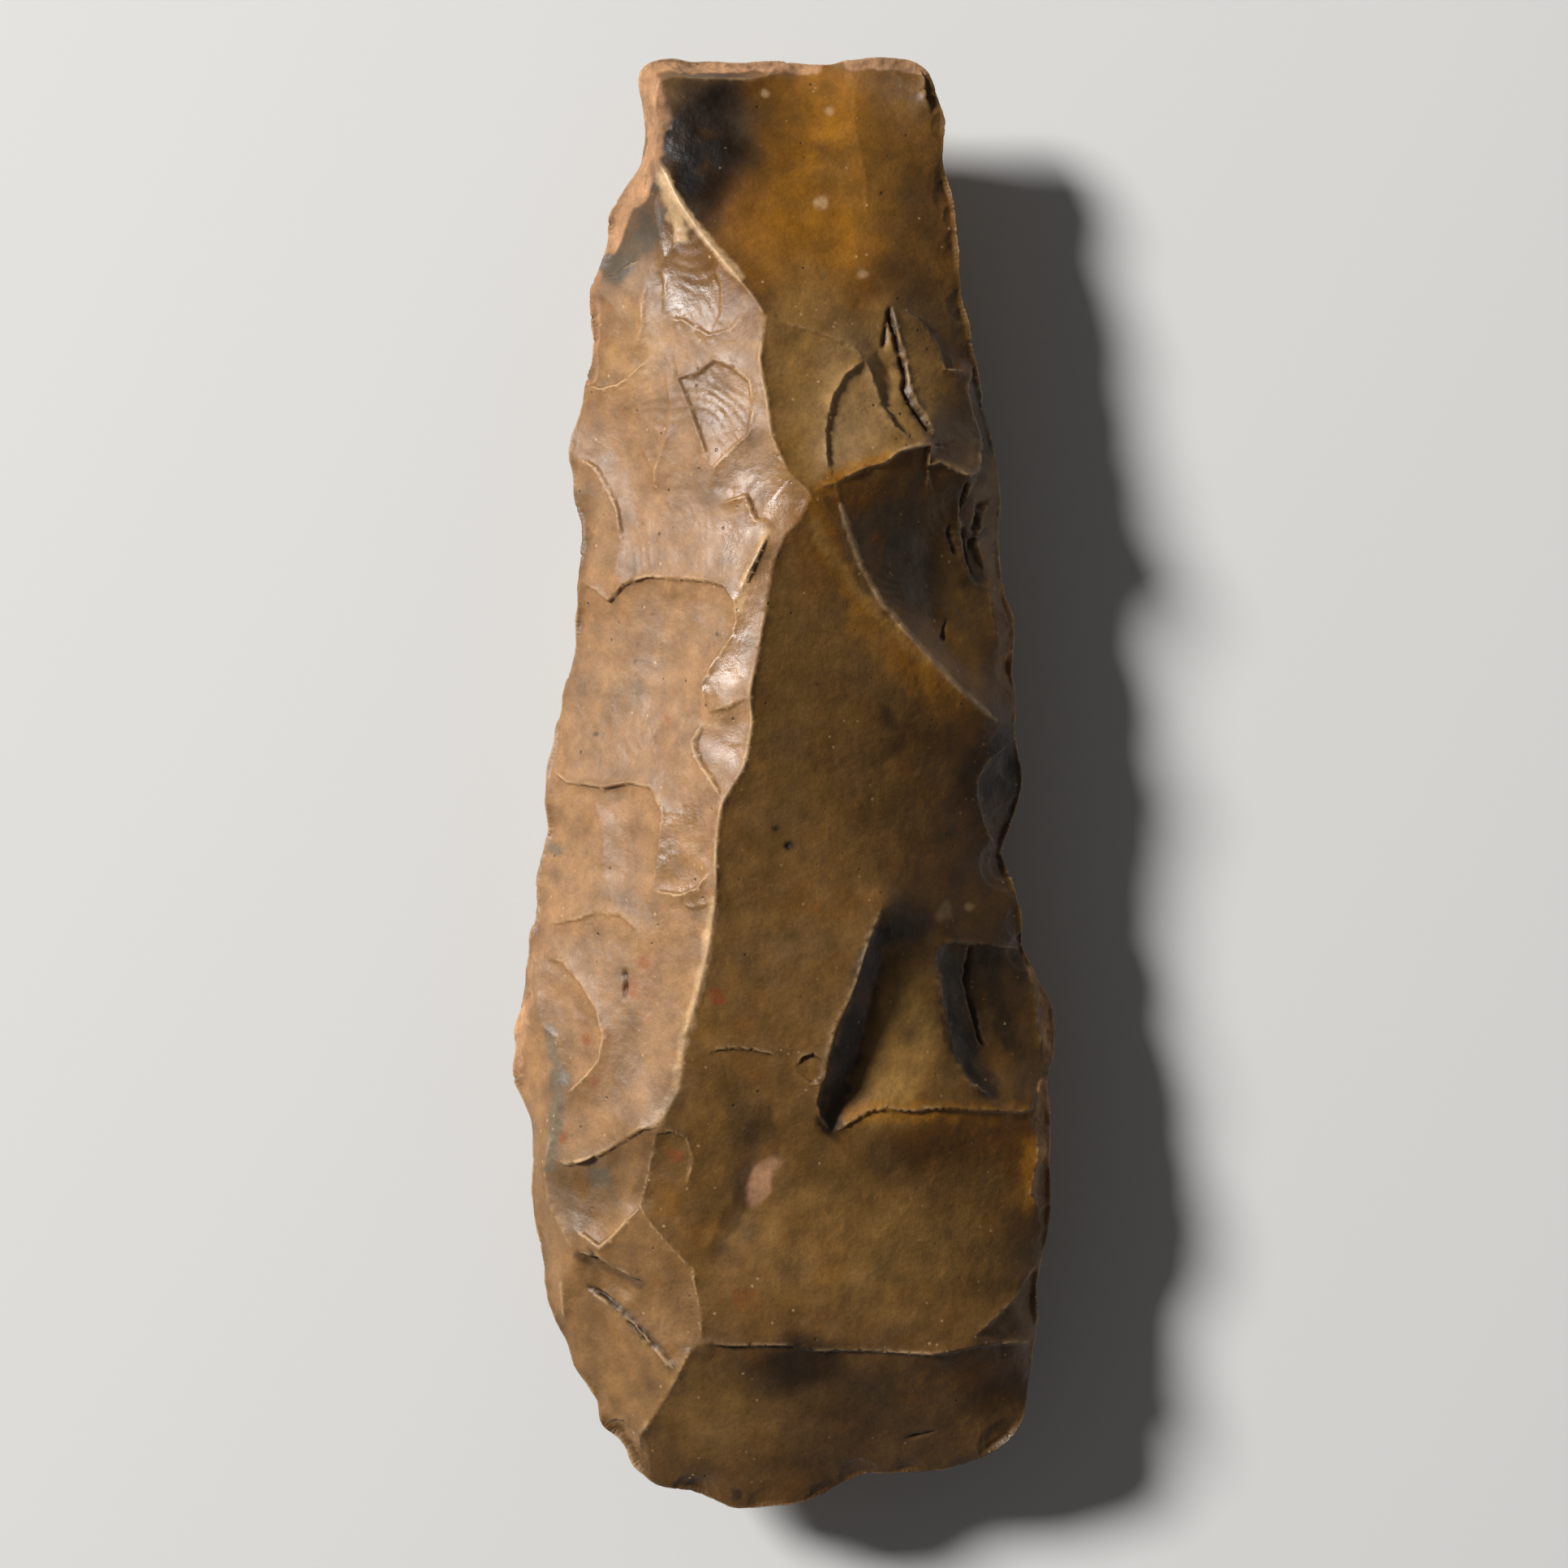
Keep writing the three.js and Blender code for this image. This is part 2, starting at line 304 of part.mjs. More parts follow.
// Points spaced evenly along a smooth curve through the given places, closed or open.
function evenly(places, spacing, closed = false) {
  const corners = places.map(([x, y, z = 0]) => new THREE.Vector3(x * toPart.x, y * toPart.y, z));
  const curve = new THREE.CatmullRomCurve3(corners, closed, "centripetal");
  const steps = Math.max(2, Math.round(curve.getLength() / spacing));
  const points = curve.getSpacedPoints(steps);
  return closed ? points.slice(0, -1) : points;
}

function isInside(point, loop) {
  let inside = false;
  for (let i = 0, j = loop.length - 1; i < loop.length; j = i++) {
    const a = loop[i];
    const b = loop[j];
    const crosses = a.y > point.y !== b.y > point.y;
    if (crosses && point.x < ((b.x - a.x) * (point.y - a.y)) / (b.y - a.y) + a.x) inside = !inside;
  }
  return inside;
}

// The edge line weaves between the two faces, because flakes were struck from each side in turn.
function edgeWeave(share) {
  const turn = share * Math.PI * 2;
  return EDGE_WEAVE * (0.6 * Math.sin(13 * turn + 0.8) + 0.4 * Math.sin(29 * turn + 2.1));
}

// Bowyer and Watson's method: the Delaunay triangles of a set of flat points.
function triangulate(points) {
  const far = 10 * LENGTH;
  const all = [...points, { x: -far, y: -far }, { x: far, y: -far }, { x: 0, y: far }];
  const n = points.length;
  let triangles = [circled(all, n, n + 1, n + 2)];
  for (let i = 0; i < n; i++) {
    const { x, y } = all[i];
    const rim = new Map();
    const kept = [];
    for (const t of triangles) {
      if ((t.x - x) ** 2 + (t.y - y) ** 2 >= t.rr) {
        kept.push(t);
        continue;
      }
      for (const [a, b] of [[t.a, t.b], [t.b, t.c], [t.c, t.a]]) {
        if (!rim.delete(b + "," + a)) rim.set(a + "," + b, [a, b]);
      }
    }
    for (const [a, b] of rim.values()) kept.push(circled(all, a, b, i));
    triangles = kept;
  }
  return triangles.filter((t) => t.a < n && t.b < n && t.c < n).map((t) => [t.a, t.b, t.c]);
}

// A triangle with its circumscribed circle, its corners running anticlockwise.
function circled(points, a, b, c) {
  const p = points[a];
  const q = points[b];
  const r = points[c];
  const d = 2 * ((q.x - p.x) * (r.y - p.y) - (q.y - p.y) * (r.x - p.x));
  const qq = (q.x - p.x) ** 2 + (q.y - p.y) ** 2;
  const rr = (r.x - p.x) ** 2 + (r.y - p.y) ** 2;
  const ux = ((r.y - p.y) * qq - (q.y - p.y) * rr) / d;
  const uy = ((q.x - p.x) * rr - (r.x - p.x) * qq) / d;
  return { a, b, c, x: p.x + ux, y: p.y + uy, rr: ux * ux + uy * uy };
}

// Settles the free points of a film: each lies level with its neighbours, less the curvature asked for.
function settle(film, curvature) {
  const ROUNDS = 400;
  const OVERSHOOT = 1.85;
  for (let round = 0; round < ROUNDS; round++) {
    for (const i of film.free) {
      let pull = 0;
      for (const [j, weight] of film.links[i]) pull += weight * film.points[j].z;
      const level = (pull - curvature * film.areas[i]) / film.weights[i];
      film.points[i].z += OVERSHOOT * (level - film.points[i].z);
    }
  }
}

// The links between the points of a triangulation, weighted by the angles that face each link.
function link(points, triangles) {
  const links = points.map(() => new Map());
  const areas = points.map(() => 0);
  for (const [a, b, c] of triangles) {
    for (const [i, j, k] of [[a, b, c], [b, c, a], [c, a, b]]) {
      const ux = points[i].x - points[k].x;
      const uy = points[i].y - points[k].y;
      const vx = points[j].x - points[k].x;
      const vy = points[j].y - points[k].y;
      const doubleArea = Math.abs(ux * vy - uy * vx);
      const weight = Math.max(0.05, (ux * vx + uy * vy) / doubleArea) / 2;
      links[i].set(j, (links[i].get(j) ?? 0) + weight);
      links[j].set(i, (links[j].get(i) ?? 0) + weight);
      areas[k] += doubleArea / 6;
    }
  }
  return { links, areas, weights: links.map((near) => [...near.values()].reduce((a, b) => a + b, 0)) };
}

// A line made ready for measuring: its points, and how far along the line each one lies.
function track(points) {
  const run = [0];
  for (let i = 1; i < points.length; i++) {
    run.push(run[i - 1] + Math.hypot(points[i].x - points[i - 1].x, points[i].y - points[i - 1].y));
  }
  return { points, run, total: run[run.length - 1] };
}

// The nearest place on a line: its distance, the hand it lies on, and the distance to the line's end.
function nearest({ points, run, total }, x, y) {
  let best = { gap: Infinity };
  for (let i = 1; i < points.length; i++) {
    const a = points[i - 1];
    const dx = points[i].x - a.x;
    const dy = points[i].y - a.y;
    const t = THREE.MathUtils.clamp(((x - a.x) * dx + (y - a.y) * dy) / (dx * dx + dy * dy), 0, 1);
    const gap = Math.hypot(x - a.x - t * dx, y - a.y - t * dy);
    if (gap >= best.gap) continue;
    const along = run[i - 1] + t * (run[i] - run[i - 1]);
    const right = dx * (y - a.y) - dy * (x - a.x) < 0;
    best = { gap, right, toEnd: Math.min(along, total - along) };
  }
  return best;
}

// A line's strength at a place: full along its middle, less towards its ends.
function strength(toEnd, fade) {
  return END_STRENGTH + (1 - END_STRENGTH) * Math.min(1, toEnd / fade);
}

// How far one minor arris lifts a place off the film.
function cusp({ rise, drop = 0, reach = USUAL_REACH, line }, x, y) {
  const { gap, right, toEnd } = nearest(line, x, y);
  const far = Math.exp(-gap / reach);
  const onLowSide = drop > 0 && right;
  const height = onLowSide ? (rise + drop) * Math.exp(-gap / LIP_REACH) - drop * far : rise * far;
  return strength(toEnd, END_FADE) * height;
}

// How far one soft valley lowers a place.
function valley({ depth, width, line }, x, y) {
  const { gap, toEnd } = nearest(line, x, y);
  return strength(toEnd, 2 * END_FADE) * depth * Math.exp(-((gap / width) ** 2));
}

// The points of one face, seen in plan: the outline, the arrises, and rows of points between them.
function layPoints(rim, { lines, arrises, remnant, floor, scale, spacing }) {
  const CROWDING = 0.55; // nearest that two points come, as a share of their spacing
  const ROW_CROWDING = 0.72;
  const INSET = 0.62; // of the rim's spacing, from the outline to the first row inside it
  const NUDGE = 0.01; // keeps rows of points from lying on one circle
  const points = rim.map((p) => ({ ...p, fixed: true }));
  const add = (x, y, gap, extra = {}) => {
    const crowded = points.some((p) => (p.x - x) ** 2 + (p.y - y) ** 2 < gap * gap);
    if (!crowded && isInside({ x, y }, rim)) points.push({ x, y, z: 0, ...extra });
  };
  const arrisGap = CROWDING * ARRIS_SPACING;
  for (const line of Object.values(lines)) {
    for (const { x, y, z } of evenly(line, ARRIS_SPACING)) {
      add(x, y, arrisGap, { z: z * scale, fixed: true });
    }
  }
  for (const { x, y } of remnant) add(x, y, arrisGap, { z: floor, fixed: true });
  for (const { line } of arrises) {
    for (const { x, y } of line.points) add(x, y, arrisGap);
  }
  rim.forEach((p, i) => {
    const q = rim[(i + 1) % rim.length];
    const along = Math.hypot(q.x - p.x, q.y - p.y);
    const x = (p.x + q.x) / 2 + ((q.y - p.y) / along) * INSET * RIM_SPACING;
    const y = (p.y + q.y) / 2 - ((q.x - p.x) / along) * INSET * RIM_SPACING;
    add(x, y, CROWDING * RIM_SPACING);
  });
  const rowStep = (spacing * Math.sqrt(3)) / 2;
  const rows = Math.ceil(LENGTH / rowStep);
  const columns = Math.ceil(WIDTH / spacing);
  for (let row = 0; row <= rows; row++) {
    for (let column = 0; column <= columns; column++) {
      const x = -WIDTH / 2 + (column + (row % 2) / 2) * spacing;
      const nudge = NUDGE * Math.sin(7 * column + 3 * row);
      add(x + nudge, -LENGTH / 2 + row * rowStep - nudge, ROW_CROWDING * spacing);
    }
  }
  return points;
}

// One face: its points and triangles, with heights above the edge line.
function drapeFace(rim, { lines, arrises, hollows, remnant, floor, scale, swell, spacing }) {
  const drawn = ({ at, ...rest }) => ({ ...rest, line: track(evenly(at, ARRIS_SPACING)) });
  const cusps = arrises.map(drawn);
  const valleys = hollows.map(drawn);
  const points = layPoints(rim, { lines, arrises: cusps, remnant, floor, scale, spacing });
  const triangles = triangulate(points).filter((corners) => {
    const x = corners.reduce((sum, i) => sum + points[i].x, 0) / 3;
    const y = corners.reduce((sum, i) => sum + points[i].y, 0) / 3;
    return isInside({ x, y }, rim);
  });
  for (const p of points) {
    if (!isInside(p, remnant)) continue;
    p.fixed = true;
    p.z = floor;
  }
  const film = { points, ...link(points, triangles) };
  film.free = points.map((p, i) => i).filter((i) => !points[i].fixed);
  settle(film, -swell);
  const edge = track([...rim, rim[0]]);
  for (const p of points.slice(rim.length)) {
    if (p.z === floor) continue;
    const fade = Math.min(1, nearest(edge, p.x, p.y).gap / EDGE_FADE);
    const raised = cusps.reduce((sum, arris) => sum + cusp(arris, p.x, p.y), 0);
    const sunk = valleys.reduce((sum, hollow) => sum + valley(hollow, p.x, p.y), 0);
    p.z = Math.min(p.z + fade * (raised - sunk), floor);
  }
  return { points, triangles };
}

// Joins the two faces along the outline they share into one closed skin.
function closeSkin(rim, upper, lower) {
  const upperOwn = upper.points.slice(rim.length);
  const lowerOwn = lower.points.slice(rim.length);
  const places = [
    ...rim.map((p) => [p.x, p.y, LOWER_DROP + p.z]),
    ...upperOwn.map((p) => [p.x, p.y, LOWER_DROP + p.z]),
    ...lowerOwn.map((p) => [p.x, p.y, LOWER_DROP - p.z]),
  ];
  const lowerNumber = (i) => (i < rim.length ? i : i + upperOwn.length);
  const turned = lower.triangles.map(([a, b, c]) => [a, c, b].map(lowerNumber));
  const skin = new THREE.BufferGeometry();
  skin.setAttribute("position", new THREE.Float32BufferAttribute(places.flat(), 3));
  skin.setIndex([...upper.triangles, ...turned].flat());
  skin.computeBoundingBox();
  const middle = skin.boundingBox.getCenter(new THREE.Vector3());
  skin.translate(-middle.x, -middle.y, 0);
  skin.computeVertexNormals();
  return skin;
}

function flintAxeHead() {
  const rim = evenly(OUTLINE, RIM_SPACING, true).map(({ x, y, z }, i, all) => ({
    x,
    y,
    z: z + edgeWeave(i / all.length),
  }));
  const upper = drapeFace(rim, {
    lines: UPPER_LINES,
    arrises: UPPER_ARRISES,
    hollows: UPPER_HOLLOWS,
    remnant: [],
    floor: Infinity,
    scale: toPart.up,
    swell: UPPER_SWELL,
    spacing: UPPER_FACE_SPACING,
  });
  // The lower face is draped the same way, seen from below, so its depths count as heights.
  const lowerRim = rim.map((p) => ({ ...p, z: -p.z }));
  const lower = drapeFace(lowerRim, {
    lines: LOWER_LINES,
    arrises: LOWER_ARRISES,
    hollows: [],
    remnant: evenly(RESTING_FACET, ARRIS_SPACING, true),
    floor: LOWER_DROP,
    scale: toPart.down,
    swell: LOWER_SWELL,
    spacing: LOWER_FACE_SPACING,
  });
  const flint = new THREE.MeshStandardMaterial({ color: 0x8a6a45, roughness: 0.45, metalness: 0 });
  const mesh = new THREE.Mesh(closeSkin(rim, upper, lower), flint);
  mesh.name = "flint_axe_head";
  return mesh;
}

const axe = new THREE.Group();
axe.add(flintAxeHead());

export default axe;
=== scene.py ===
"""A knapped flint axe head, lying face up on a pale floor, dressed and lit for its photograph.

The axe head's solid gives the form. This script takes a copy of it, makes it dense, and works the
finer knapping into it: crisp lips along the arrises, ripples in the flake scars, cracks, chips and
rind. It then paints the flint's colours over the surface, with painted shade in some grooves and
hollows and painted light on the step's floor, and sets up the floor, lamp and camera.
"""

import math

import bmesh
import bpy
import numpy as np
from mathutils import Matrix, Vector


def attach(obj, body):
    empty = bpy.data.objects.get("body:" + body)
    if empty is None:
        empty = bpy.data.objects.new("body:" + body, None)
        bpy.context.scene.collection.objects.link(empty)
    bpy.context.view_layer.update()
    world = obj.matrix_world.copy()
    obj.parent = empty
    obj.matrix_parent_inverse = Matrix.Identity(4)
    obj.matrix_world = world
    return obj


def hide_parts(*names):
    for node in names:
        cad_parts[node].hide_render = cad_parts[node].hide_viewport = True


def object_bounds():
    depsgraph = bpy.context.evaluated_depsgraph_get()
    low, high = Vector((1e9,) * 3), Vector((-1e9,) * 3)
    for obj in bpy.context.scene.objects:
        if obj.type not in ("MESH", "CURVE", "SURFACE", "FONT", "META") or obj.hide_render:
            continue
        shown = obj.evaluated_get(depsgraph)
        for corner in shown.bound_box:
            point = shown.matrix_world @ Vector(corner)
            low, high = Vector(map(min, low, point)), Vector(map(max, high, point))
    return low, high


bl_info = {
    "name": "Flint axe head",
    "version": (1, 0, 0),
    "blender": (4, 5, 0),
    "location": "3D View > Sidebar > Flint axe",
    "description": "Knapped flint axe head with its rind, colours and studio stage",
    "category": "Object",
}

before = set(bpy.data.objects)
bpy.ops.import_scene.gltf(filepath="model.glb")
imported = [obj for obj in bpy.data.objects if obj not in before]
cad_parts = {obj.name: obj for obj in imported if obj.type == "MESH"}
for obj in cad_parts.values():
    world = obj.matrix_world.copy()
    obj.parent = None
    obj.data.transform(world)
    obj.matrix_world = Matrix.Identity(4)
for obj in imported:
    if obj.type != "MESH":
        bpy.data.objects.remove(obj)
CAD_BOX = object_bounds()

NODE = "flint_axe_head"
BODY = "root"
MM = 0.001

# Lines on the upper face, in millimetres: X to the right, Y towards the butt.
# The colour of the flint changes along the spine and the arrises that carry it on downwards.
SPINE = [
    (-15.9, 76.6), (-14.6, 74.6), (-12.6, 70.5), (-9.5, 66), (-6, 61.6), (-3.4, 58.3), (-2.2, 56),
    (-2.9, 51), (-2, 46), (-1.4, 41.6), (0.6, 37.2), (3.2, 34.6), (1.9, 31.6), (0.2, 29.9),
    (-1.3, 26.4), (-2.1, 21.6), (-3.1, 15.6), (-4.1, 10.8), (-3.8, 7.4), (-4.8, 2), (-7.4, -2.3),
    (-8.1, -8), (-8.1, -13), (-9.1, -20), (-10.3, -25.4), (-11.9, -30.4), (-12.5, -36.4),
    (-15.2, -41.3),
]
INNER_LEFT = [
    (-15.2, -41.3), (-16, -45), (-16.7, -48.6), (-17.4, -51), (-16.2, -53), (-13.4, -56.3),
    (-11, -58.7), (-10.9, -60), (-10.1, -64), (-10, -67.7),
]
LOWER_LEFT = [
    (-10, -67.7), (-11.6, -69), (-12.5, -70.8), (-14, -74), (-16.3, -77.8), (-17.8, -80),
    (-17.9, -82.4),
]
STEP_LIP = [
    (11.8, -14.6), (10.8, -17.4), (9.4, -21.2), (8.7, -23.8), (7.2, -27.2), (5.9, -30.4),
    (4.9, -34.5), (3.9, -38), (4.4, -40), (5.8, -42.1),
]
SCOOP_RIM = [
    (3.2, 34.6), (4.6, 35.7), (6.2, 36.1), (6.8, 33.4), (7.6, 30.6), (9.3, 26), (12, 21.5),
    (16.5, 16.4), (21.5, 11.3), (25.2, 8.2), (28.3, 6.9),
]
SCOOP_BROW = [
    (6.2, 36.1), (9.6, 37.9), (12.2, 38.7), (14, 40.1), (17.6, 41), (17.4, 38.6), (19, 38.9),
    (20.8, 38.2), (22.6, 37.4), (24, 38.6),
]
LOWER_BROW = [
    (5.8, -42.1), (7.6, -41), (10.2, -39.4), (12.5, -39.1), (15.2, -39.5), (18, -39.2),
    (21, -39.4), (26, -39.9), (29, -40.2), (30.9, -39.6),
]
EDGE_BROW = [
    (-10, -67.7), (-6, -67.9), (1, -67.9), (3, -68.5), (10, -68.6), (18, -69.2), (24, -68.4),
    (30.2, -68.6),
]

# Each arris: how far its lip stands up, how far the scar on its right falls away, both in tenths
# of a millimetre, and its line.
ARRISES = [
    (1.2, 0, SPINE), (1, 0.5, INNER_LEFT), (1.5, 0, LOWER_LEFT), (2, 1.5, STEP_LIP[::-1]),
    (1, 0, SCOOP_RIM), (1.5, 1.5, SCOOP_BROW), (1.5, 1.5, LOWER_BROW), (1.5, 1.5, EDGE_BROW),
    # Left side by the butt.
    (1, 0, [(-16.2, 75), (-15.8, 71.6), (-15.3, 67), (-14.5, 64.2), (-15.6, 62)]),
    (1.5, 2, [(-17.2, 64.2), (-19.4, 63.3), (-20.8, 62.3), (-22.8, 62.3)]),
    (1.5, 0, [(-16.8, 62), (-17.3, 58.6), (-17.2, 56), (-18, 53.4), (-18.6, 51.4)]),
    (1, 0.8, [(-4.4, 57.2), (-6.4, 54.8), (-9, 54.2), (-12.2, 56.2), (-15.2, 56.8)]),
    (1.2, 1, [(-15, 62.9), (-14.5, 61), (-14.5, 58.9), (-14.7, 56.4)]),
    (1, 1, [(-7.7, 63.2), (-8.1, 61.8), (-7.6, 60.4), (-7.5, 58.4), (-7.7, 56.4), (-8.8, 54.4)]),
    (1, 0.6, [(-12.8, 69.6), (-13.3, 65.3), (-14.2, 64.1)]),
    # Left side, upper third.
    (1.5, 1.5, [(-15.8, 52.6), (-18.4, 50.2), (-20.4, 48.9), (-22.6, 48.5), (-24.6, 49.4)]),
    (1.3, 1.2, [(-9, 38.4), (-10.4, 42.8), (-11.6, 46.2), (-12.9, 49.2), (-10.6, 49.6), (-8.4, 51.2),
                (-6.2, 50.2), (-4.2, 48.4), (-3.6, 45)]),
    (1.3, 0.8, [(-3.6, 46), (-4.2, 42), (-6, 40.6), (-8.4, 38.2), (-8.6, 35.6)]),
    (1.5, 0.6, [(-14.4, 50), (-13.6, 46), (-14.2, 42), (-15.6, 38.6), (-16, 35)]),
    (1, 0.8, [(-17.9, 41.7), (-16.9, 40), (-16.2, 38.4), (-16, 37.2)]),
    (1.5, 1.2, [(-19.8, 29), (-20.4, 33.6), (-21.6, 36.2), (-23.2, 38.8), (-25.6, 40.4)]),
    (2, 2, [(-1.2, 31.2), (-3.4, 31.6), (-4.6, 34.6), (-8, 33.6)]),
    (2, 1.5, [(-5.7, 21.6), (-4.6, 24.2), (-3, 27.4), (-1.6, 30.6)]),
    # Left side, middle: the broad scar with its rounded end.
    (2, 1.6, [(-25.2, 25.2), (-23, 23.8), (-21.4, 22.4), (-19.6, 24.4), (-16.6, 25.2), (-13, 24.9),
              (-9.6, 24.6), (-7.2, 23.8), (-5.9, 21.8), (-5.7, 19.6), (-6.4, 17.4), (-8.4, 14.6),
              (-9.7, 12), (-9.4, 8.8)]),
    (1.3, 0, [(-20.8, 23), (-20.4, 26), (-20, 29.6)]),
    (2, 1.5, [(-9.4, 8.6), (-6.6, 9.3), (-4.4, 10.4)]),
    (2, 1.5, [(-7.4, -1.8), (-8.6, 0.4), (-10.4, 3), (-10.9, 5), (-9.6, 7.6)]),
    # Left side, lower middle.
    (2, 1.5, [(-28.9, 1.9), (-26.4, 0.2), (-23.8, -0.1), (-21.8, -0.4), (-18.6, 0.2), (-16, -0.4),
              (-14.5, -3.4), (-15, -7.6), (-15.7, -12.8)]),
    (2, 2, [(-8.6, -10), (-10.4, -12.4), (-12.4, -13.3), (-15.9, -12.8)]),
    (1, 1, [(-12, -13.2), (-11.8, -14.5), (-10.5, -14.9), (-9.3, -14.35), (-8.1, -13.7)]),
    (0.8, 0, [(-23.6, -1), (-22.4, -4), (-21.8, -8), (-22.2, -12)]),
    (1, 0.8, [(-29.8, -17.4), (-25, -16.4), (-22.8, -15.5), (-19.8, -15.8), (-17.9, -17.4),
              (-17.4, -20.6)]),
    (1.8, 1.2, [(-29.8, -20.6), (-26.8, -22), (-24.4, -24.6), (-22.6, -27.6), (-21.9, -30.4),
                (-22.4, -33.4), (-24.4, -35.8), (-26.8, -38)]),
    # Lower left, round the dark tongue.
    (2, 1.2, [(-28.6, -45.6), (-26.4, -46.3), (-24, -45.6), (-21.6, -44.4), (-19, -42.7),
              (-17.2, -41.4), (-14.8, -41.2)]),
    (2, 1.5, [(-17, -50.8), (-18.6, -52.4), (-20.4, -54.4), (-22.4, -56.2), (-24, -55.1), (-26, -54)]),
    (1, 0.8, [(-15.9, -42), (-13.6, -41.6), (-11.8, -42.4), (-11, -45), (-11.8, -48.6)]),
    (2, 3, [(-25.4, -56.9), (-22.6, -57.4), (-20.6, -58.6), (-18.6, -59.6), (-16.6, -60.4)]),
    (1.8, 2, [(-12.9, -71.4), (-15.4, -68.8), (-18, -66), (-21, -63.2), (-24.6, -61.4)]),
    (1.5, 0, [(-27.8, -58), (-27.1, -62), (-26.9, -66.6)]),
    (1.3, 1.3, [(-22.2, -79.5), (-21.9, -78.8), (-20.9, -78.1), (-19.7, -78.1), (-18.6, -78.9),
                (-18, -79.8)]),
    (1.5, 0, [(-31, -19.8), (-30.2, -22.2), (-29.9, -29.4), (-27.8, -31), (-27.4, -34),
              (-27.4, -38.6), (-28.2, -43), (-29.2, -47), (-28.7, -51.4), (-26.3, -55.6),
              (-25.1, -58)]),
    # The tongue beside the big step, and its round chip.
    (1.2, 1.2, [(-9.3, -32.3), (-8, -31.7), (-6.5, -31.5), (-4.5, -31.6), (-2.9, -31.9), (0, -32.6)]),
    (1.2, 1.5, [(1.1, -34.2), (2.2, -32.6), (3.5, -32.2), (4.6, -32.9), (5, -34.2), (4.5, -35.7),
                (3.2, -36), (2.1, -35.1), (1.1, -34.2)]),
    # The floor of the step, and the scar beside it.
    (1.6, 1.6, [(25.4, -38.2), (22.4, -36), (20.6, -32.4), (19.6, -28), (18.9, -24), (18.2, -20.2)]),
    (1.5, 1.5, [(18, -19.9), (20.2, -19.2), (23, -19.5), (26.6, -20), (29.4, -20.2)]),
    (2, 0, [(30.2, -22.4), (30.8, -26), (31.1, -29), (31.8, -33.4)]),
    (2, 0, [(31, -41.4), (31, -46), (30.2, -50.2), (31.6, -53)]),
    # Above the cutting edge, on the right.
    (1.6, 2, [(23, -67.4), (25.7, -65.5), (28.6, -62.8), (30.4, -60), (31.6, -58.6)]),
    # Right side by the butt.
    (2, 2, [(18.2, 82.2), (17.3, 84), (17.2, 86.6), (16.4, 88.5)]),
    (0.5, 0, [(8.6, 85.6), (8.8, 80), (9.9, 74.6), (10.2, 69)]),
    # Right side, upper third: the crescent scars and the cracked strip.
    (0.8, 0.8, [(-1.6, 55.4), (0.4, 55.4), (4, 54.5), (8, 53), (10, 51.2)]),
    (1.5, 1.3, [(5.8, 36.6), (5.1, 39), (5, 42.4), (5.8, 46.4), (7.4, 49.4), (10, 51.4)]),
    (1.8, 2, [(15.8, 41.2), (13.4, 43), (12, 45.6), (11, 48.6), (10, 51.4)]),
    (1.5, 2, [(13, 58.4), (14, 54), (14.8, 50.6), (15.6, 47), (17.2, 44.2), (18.4, 41.6)]),
    (1.2, 1.2, [(22.6, 50.4), (19.6, 50.6), (18.6, 53.6), (16.8, 56.2), (13.8, 57.8)]),
    (2, 2, [(23.8, 37.8), (24.1, 42.4), (23, 45.6), (22.4, 48.2), (23.5, 52)]),
    # The rough edge beside the scoop.
    (1.8, 2, [(23.8, 23.6), (22.8, 26.4), (22.1, 29.6), (21.9, 33.2), (22.8, 35.8), (24.2, 38.6)]),
    (1.8, 2, [(26, 35.6), (24.4, 33), (23.6, 29.6), (25, 26)]),
    (1.2, 0, [(25.5, 28.4), (25.2, 24), (25.6, 20.6), (26.4, 16)]),
    # Right side, middle: the dark bite out of the edge.
    (1.5, 1.5, [(26.9, -8.4), (25.2, -6.4), (24.2, -4.2), (23.6, -1.8), (23.7, 0.6), (25, 2.8),
                (27.9, 5)]),
]

# Narrow cracks: depth in tenths of a millimetre, and the line.
CRACKS = [
    (7, [(13.1, 58.3), (12.8, 57.2), (13, 55.9), (13.6, 54), (14.2, 52.1), (14.6, 49.8),
         (14.6, 48.1), (15.4, 46.3), (16.1, 45.3), (17.9, 42.5)]),
    (4, [(12.5, 56.9), (12.3, 54.4), (12, 52.5)]),
    (6, [(22.5, 36.9), (22, 35.1), (21.8, 32.9), (22.1, 30.3), (22.5, 27.8), (23, 25.8), (23.6, 24.2)]),
    (4, [(20.4, 32.1), (20.1, 30.6), (20.7, 28.8), (21.45, 27.5)]),
    (4, [(25.3, 34.9), (24.2, 33.4), (24, 31.85), (23.1, 30.6)]),
    (3, [(25.9, 31.7), (23.2, 29.7), (23, 28)]),
    (4, [(19.9, 20.4), (19.4, 18.9), (19.3, 16.9)]),
    (5, [(23, -19.3), (22.7, -21.3), (22.3, -23.8), (22.5, -25.9), (23.1, -27.4), (23.5, -28.9),
         (23.9, -30.7), (24.75, -32.4)]),
    (4, [(-19.3, -22), (-19.1, -24), (-19.3, -26.5)]),
    (3, [(14.6, -80.3), (16.6, -79.9), (18.9, -79.2)]),
    (4, [(-24.5, -61.3), (-22.7, -61.9), (-20.9, -63.3), (-18.9, -65.3), (-16.9, -67.4), (-14.8, -69.1)]),
    (3, [(-24, -56.3), (-22.5, -57.8), (-20.5, -59.2), (-18.2, -60.2)]),
    (5, [(0.2, -7.9), (0.5, -7.4), (0.9, -7)]),
]

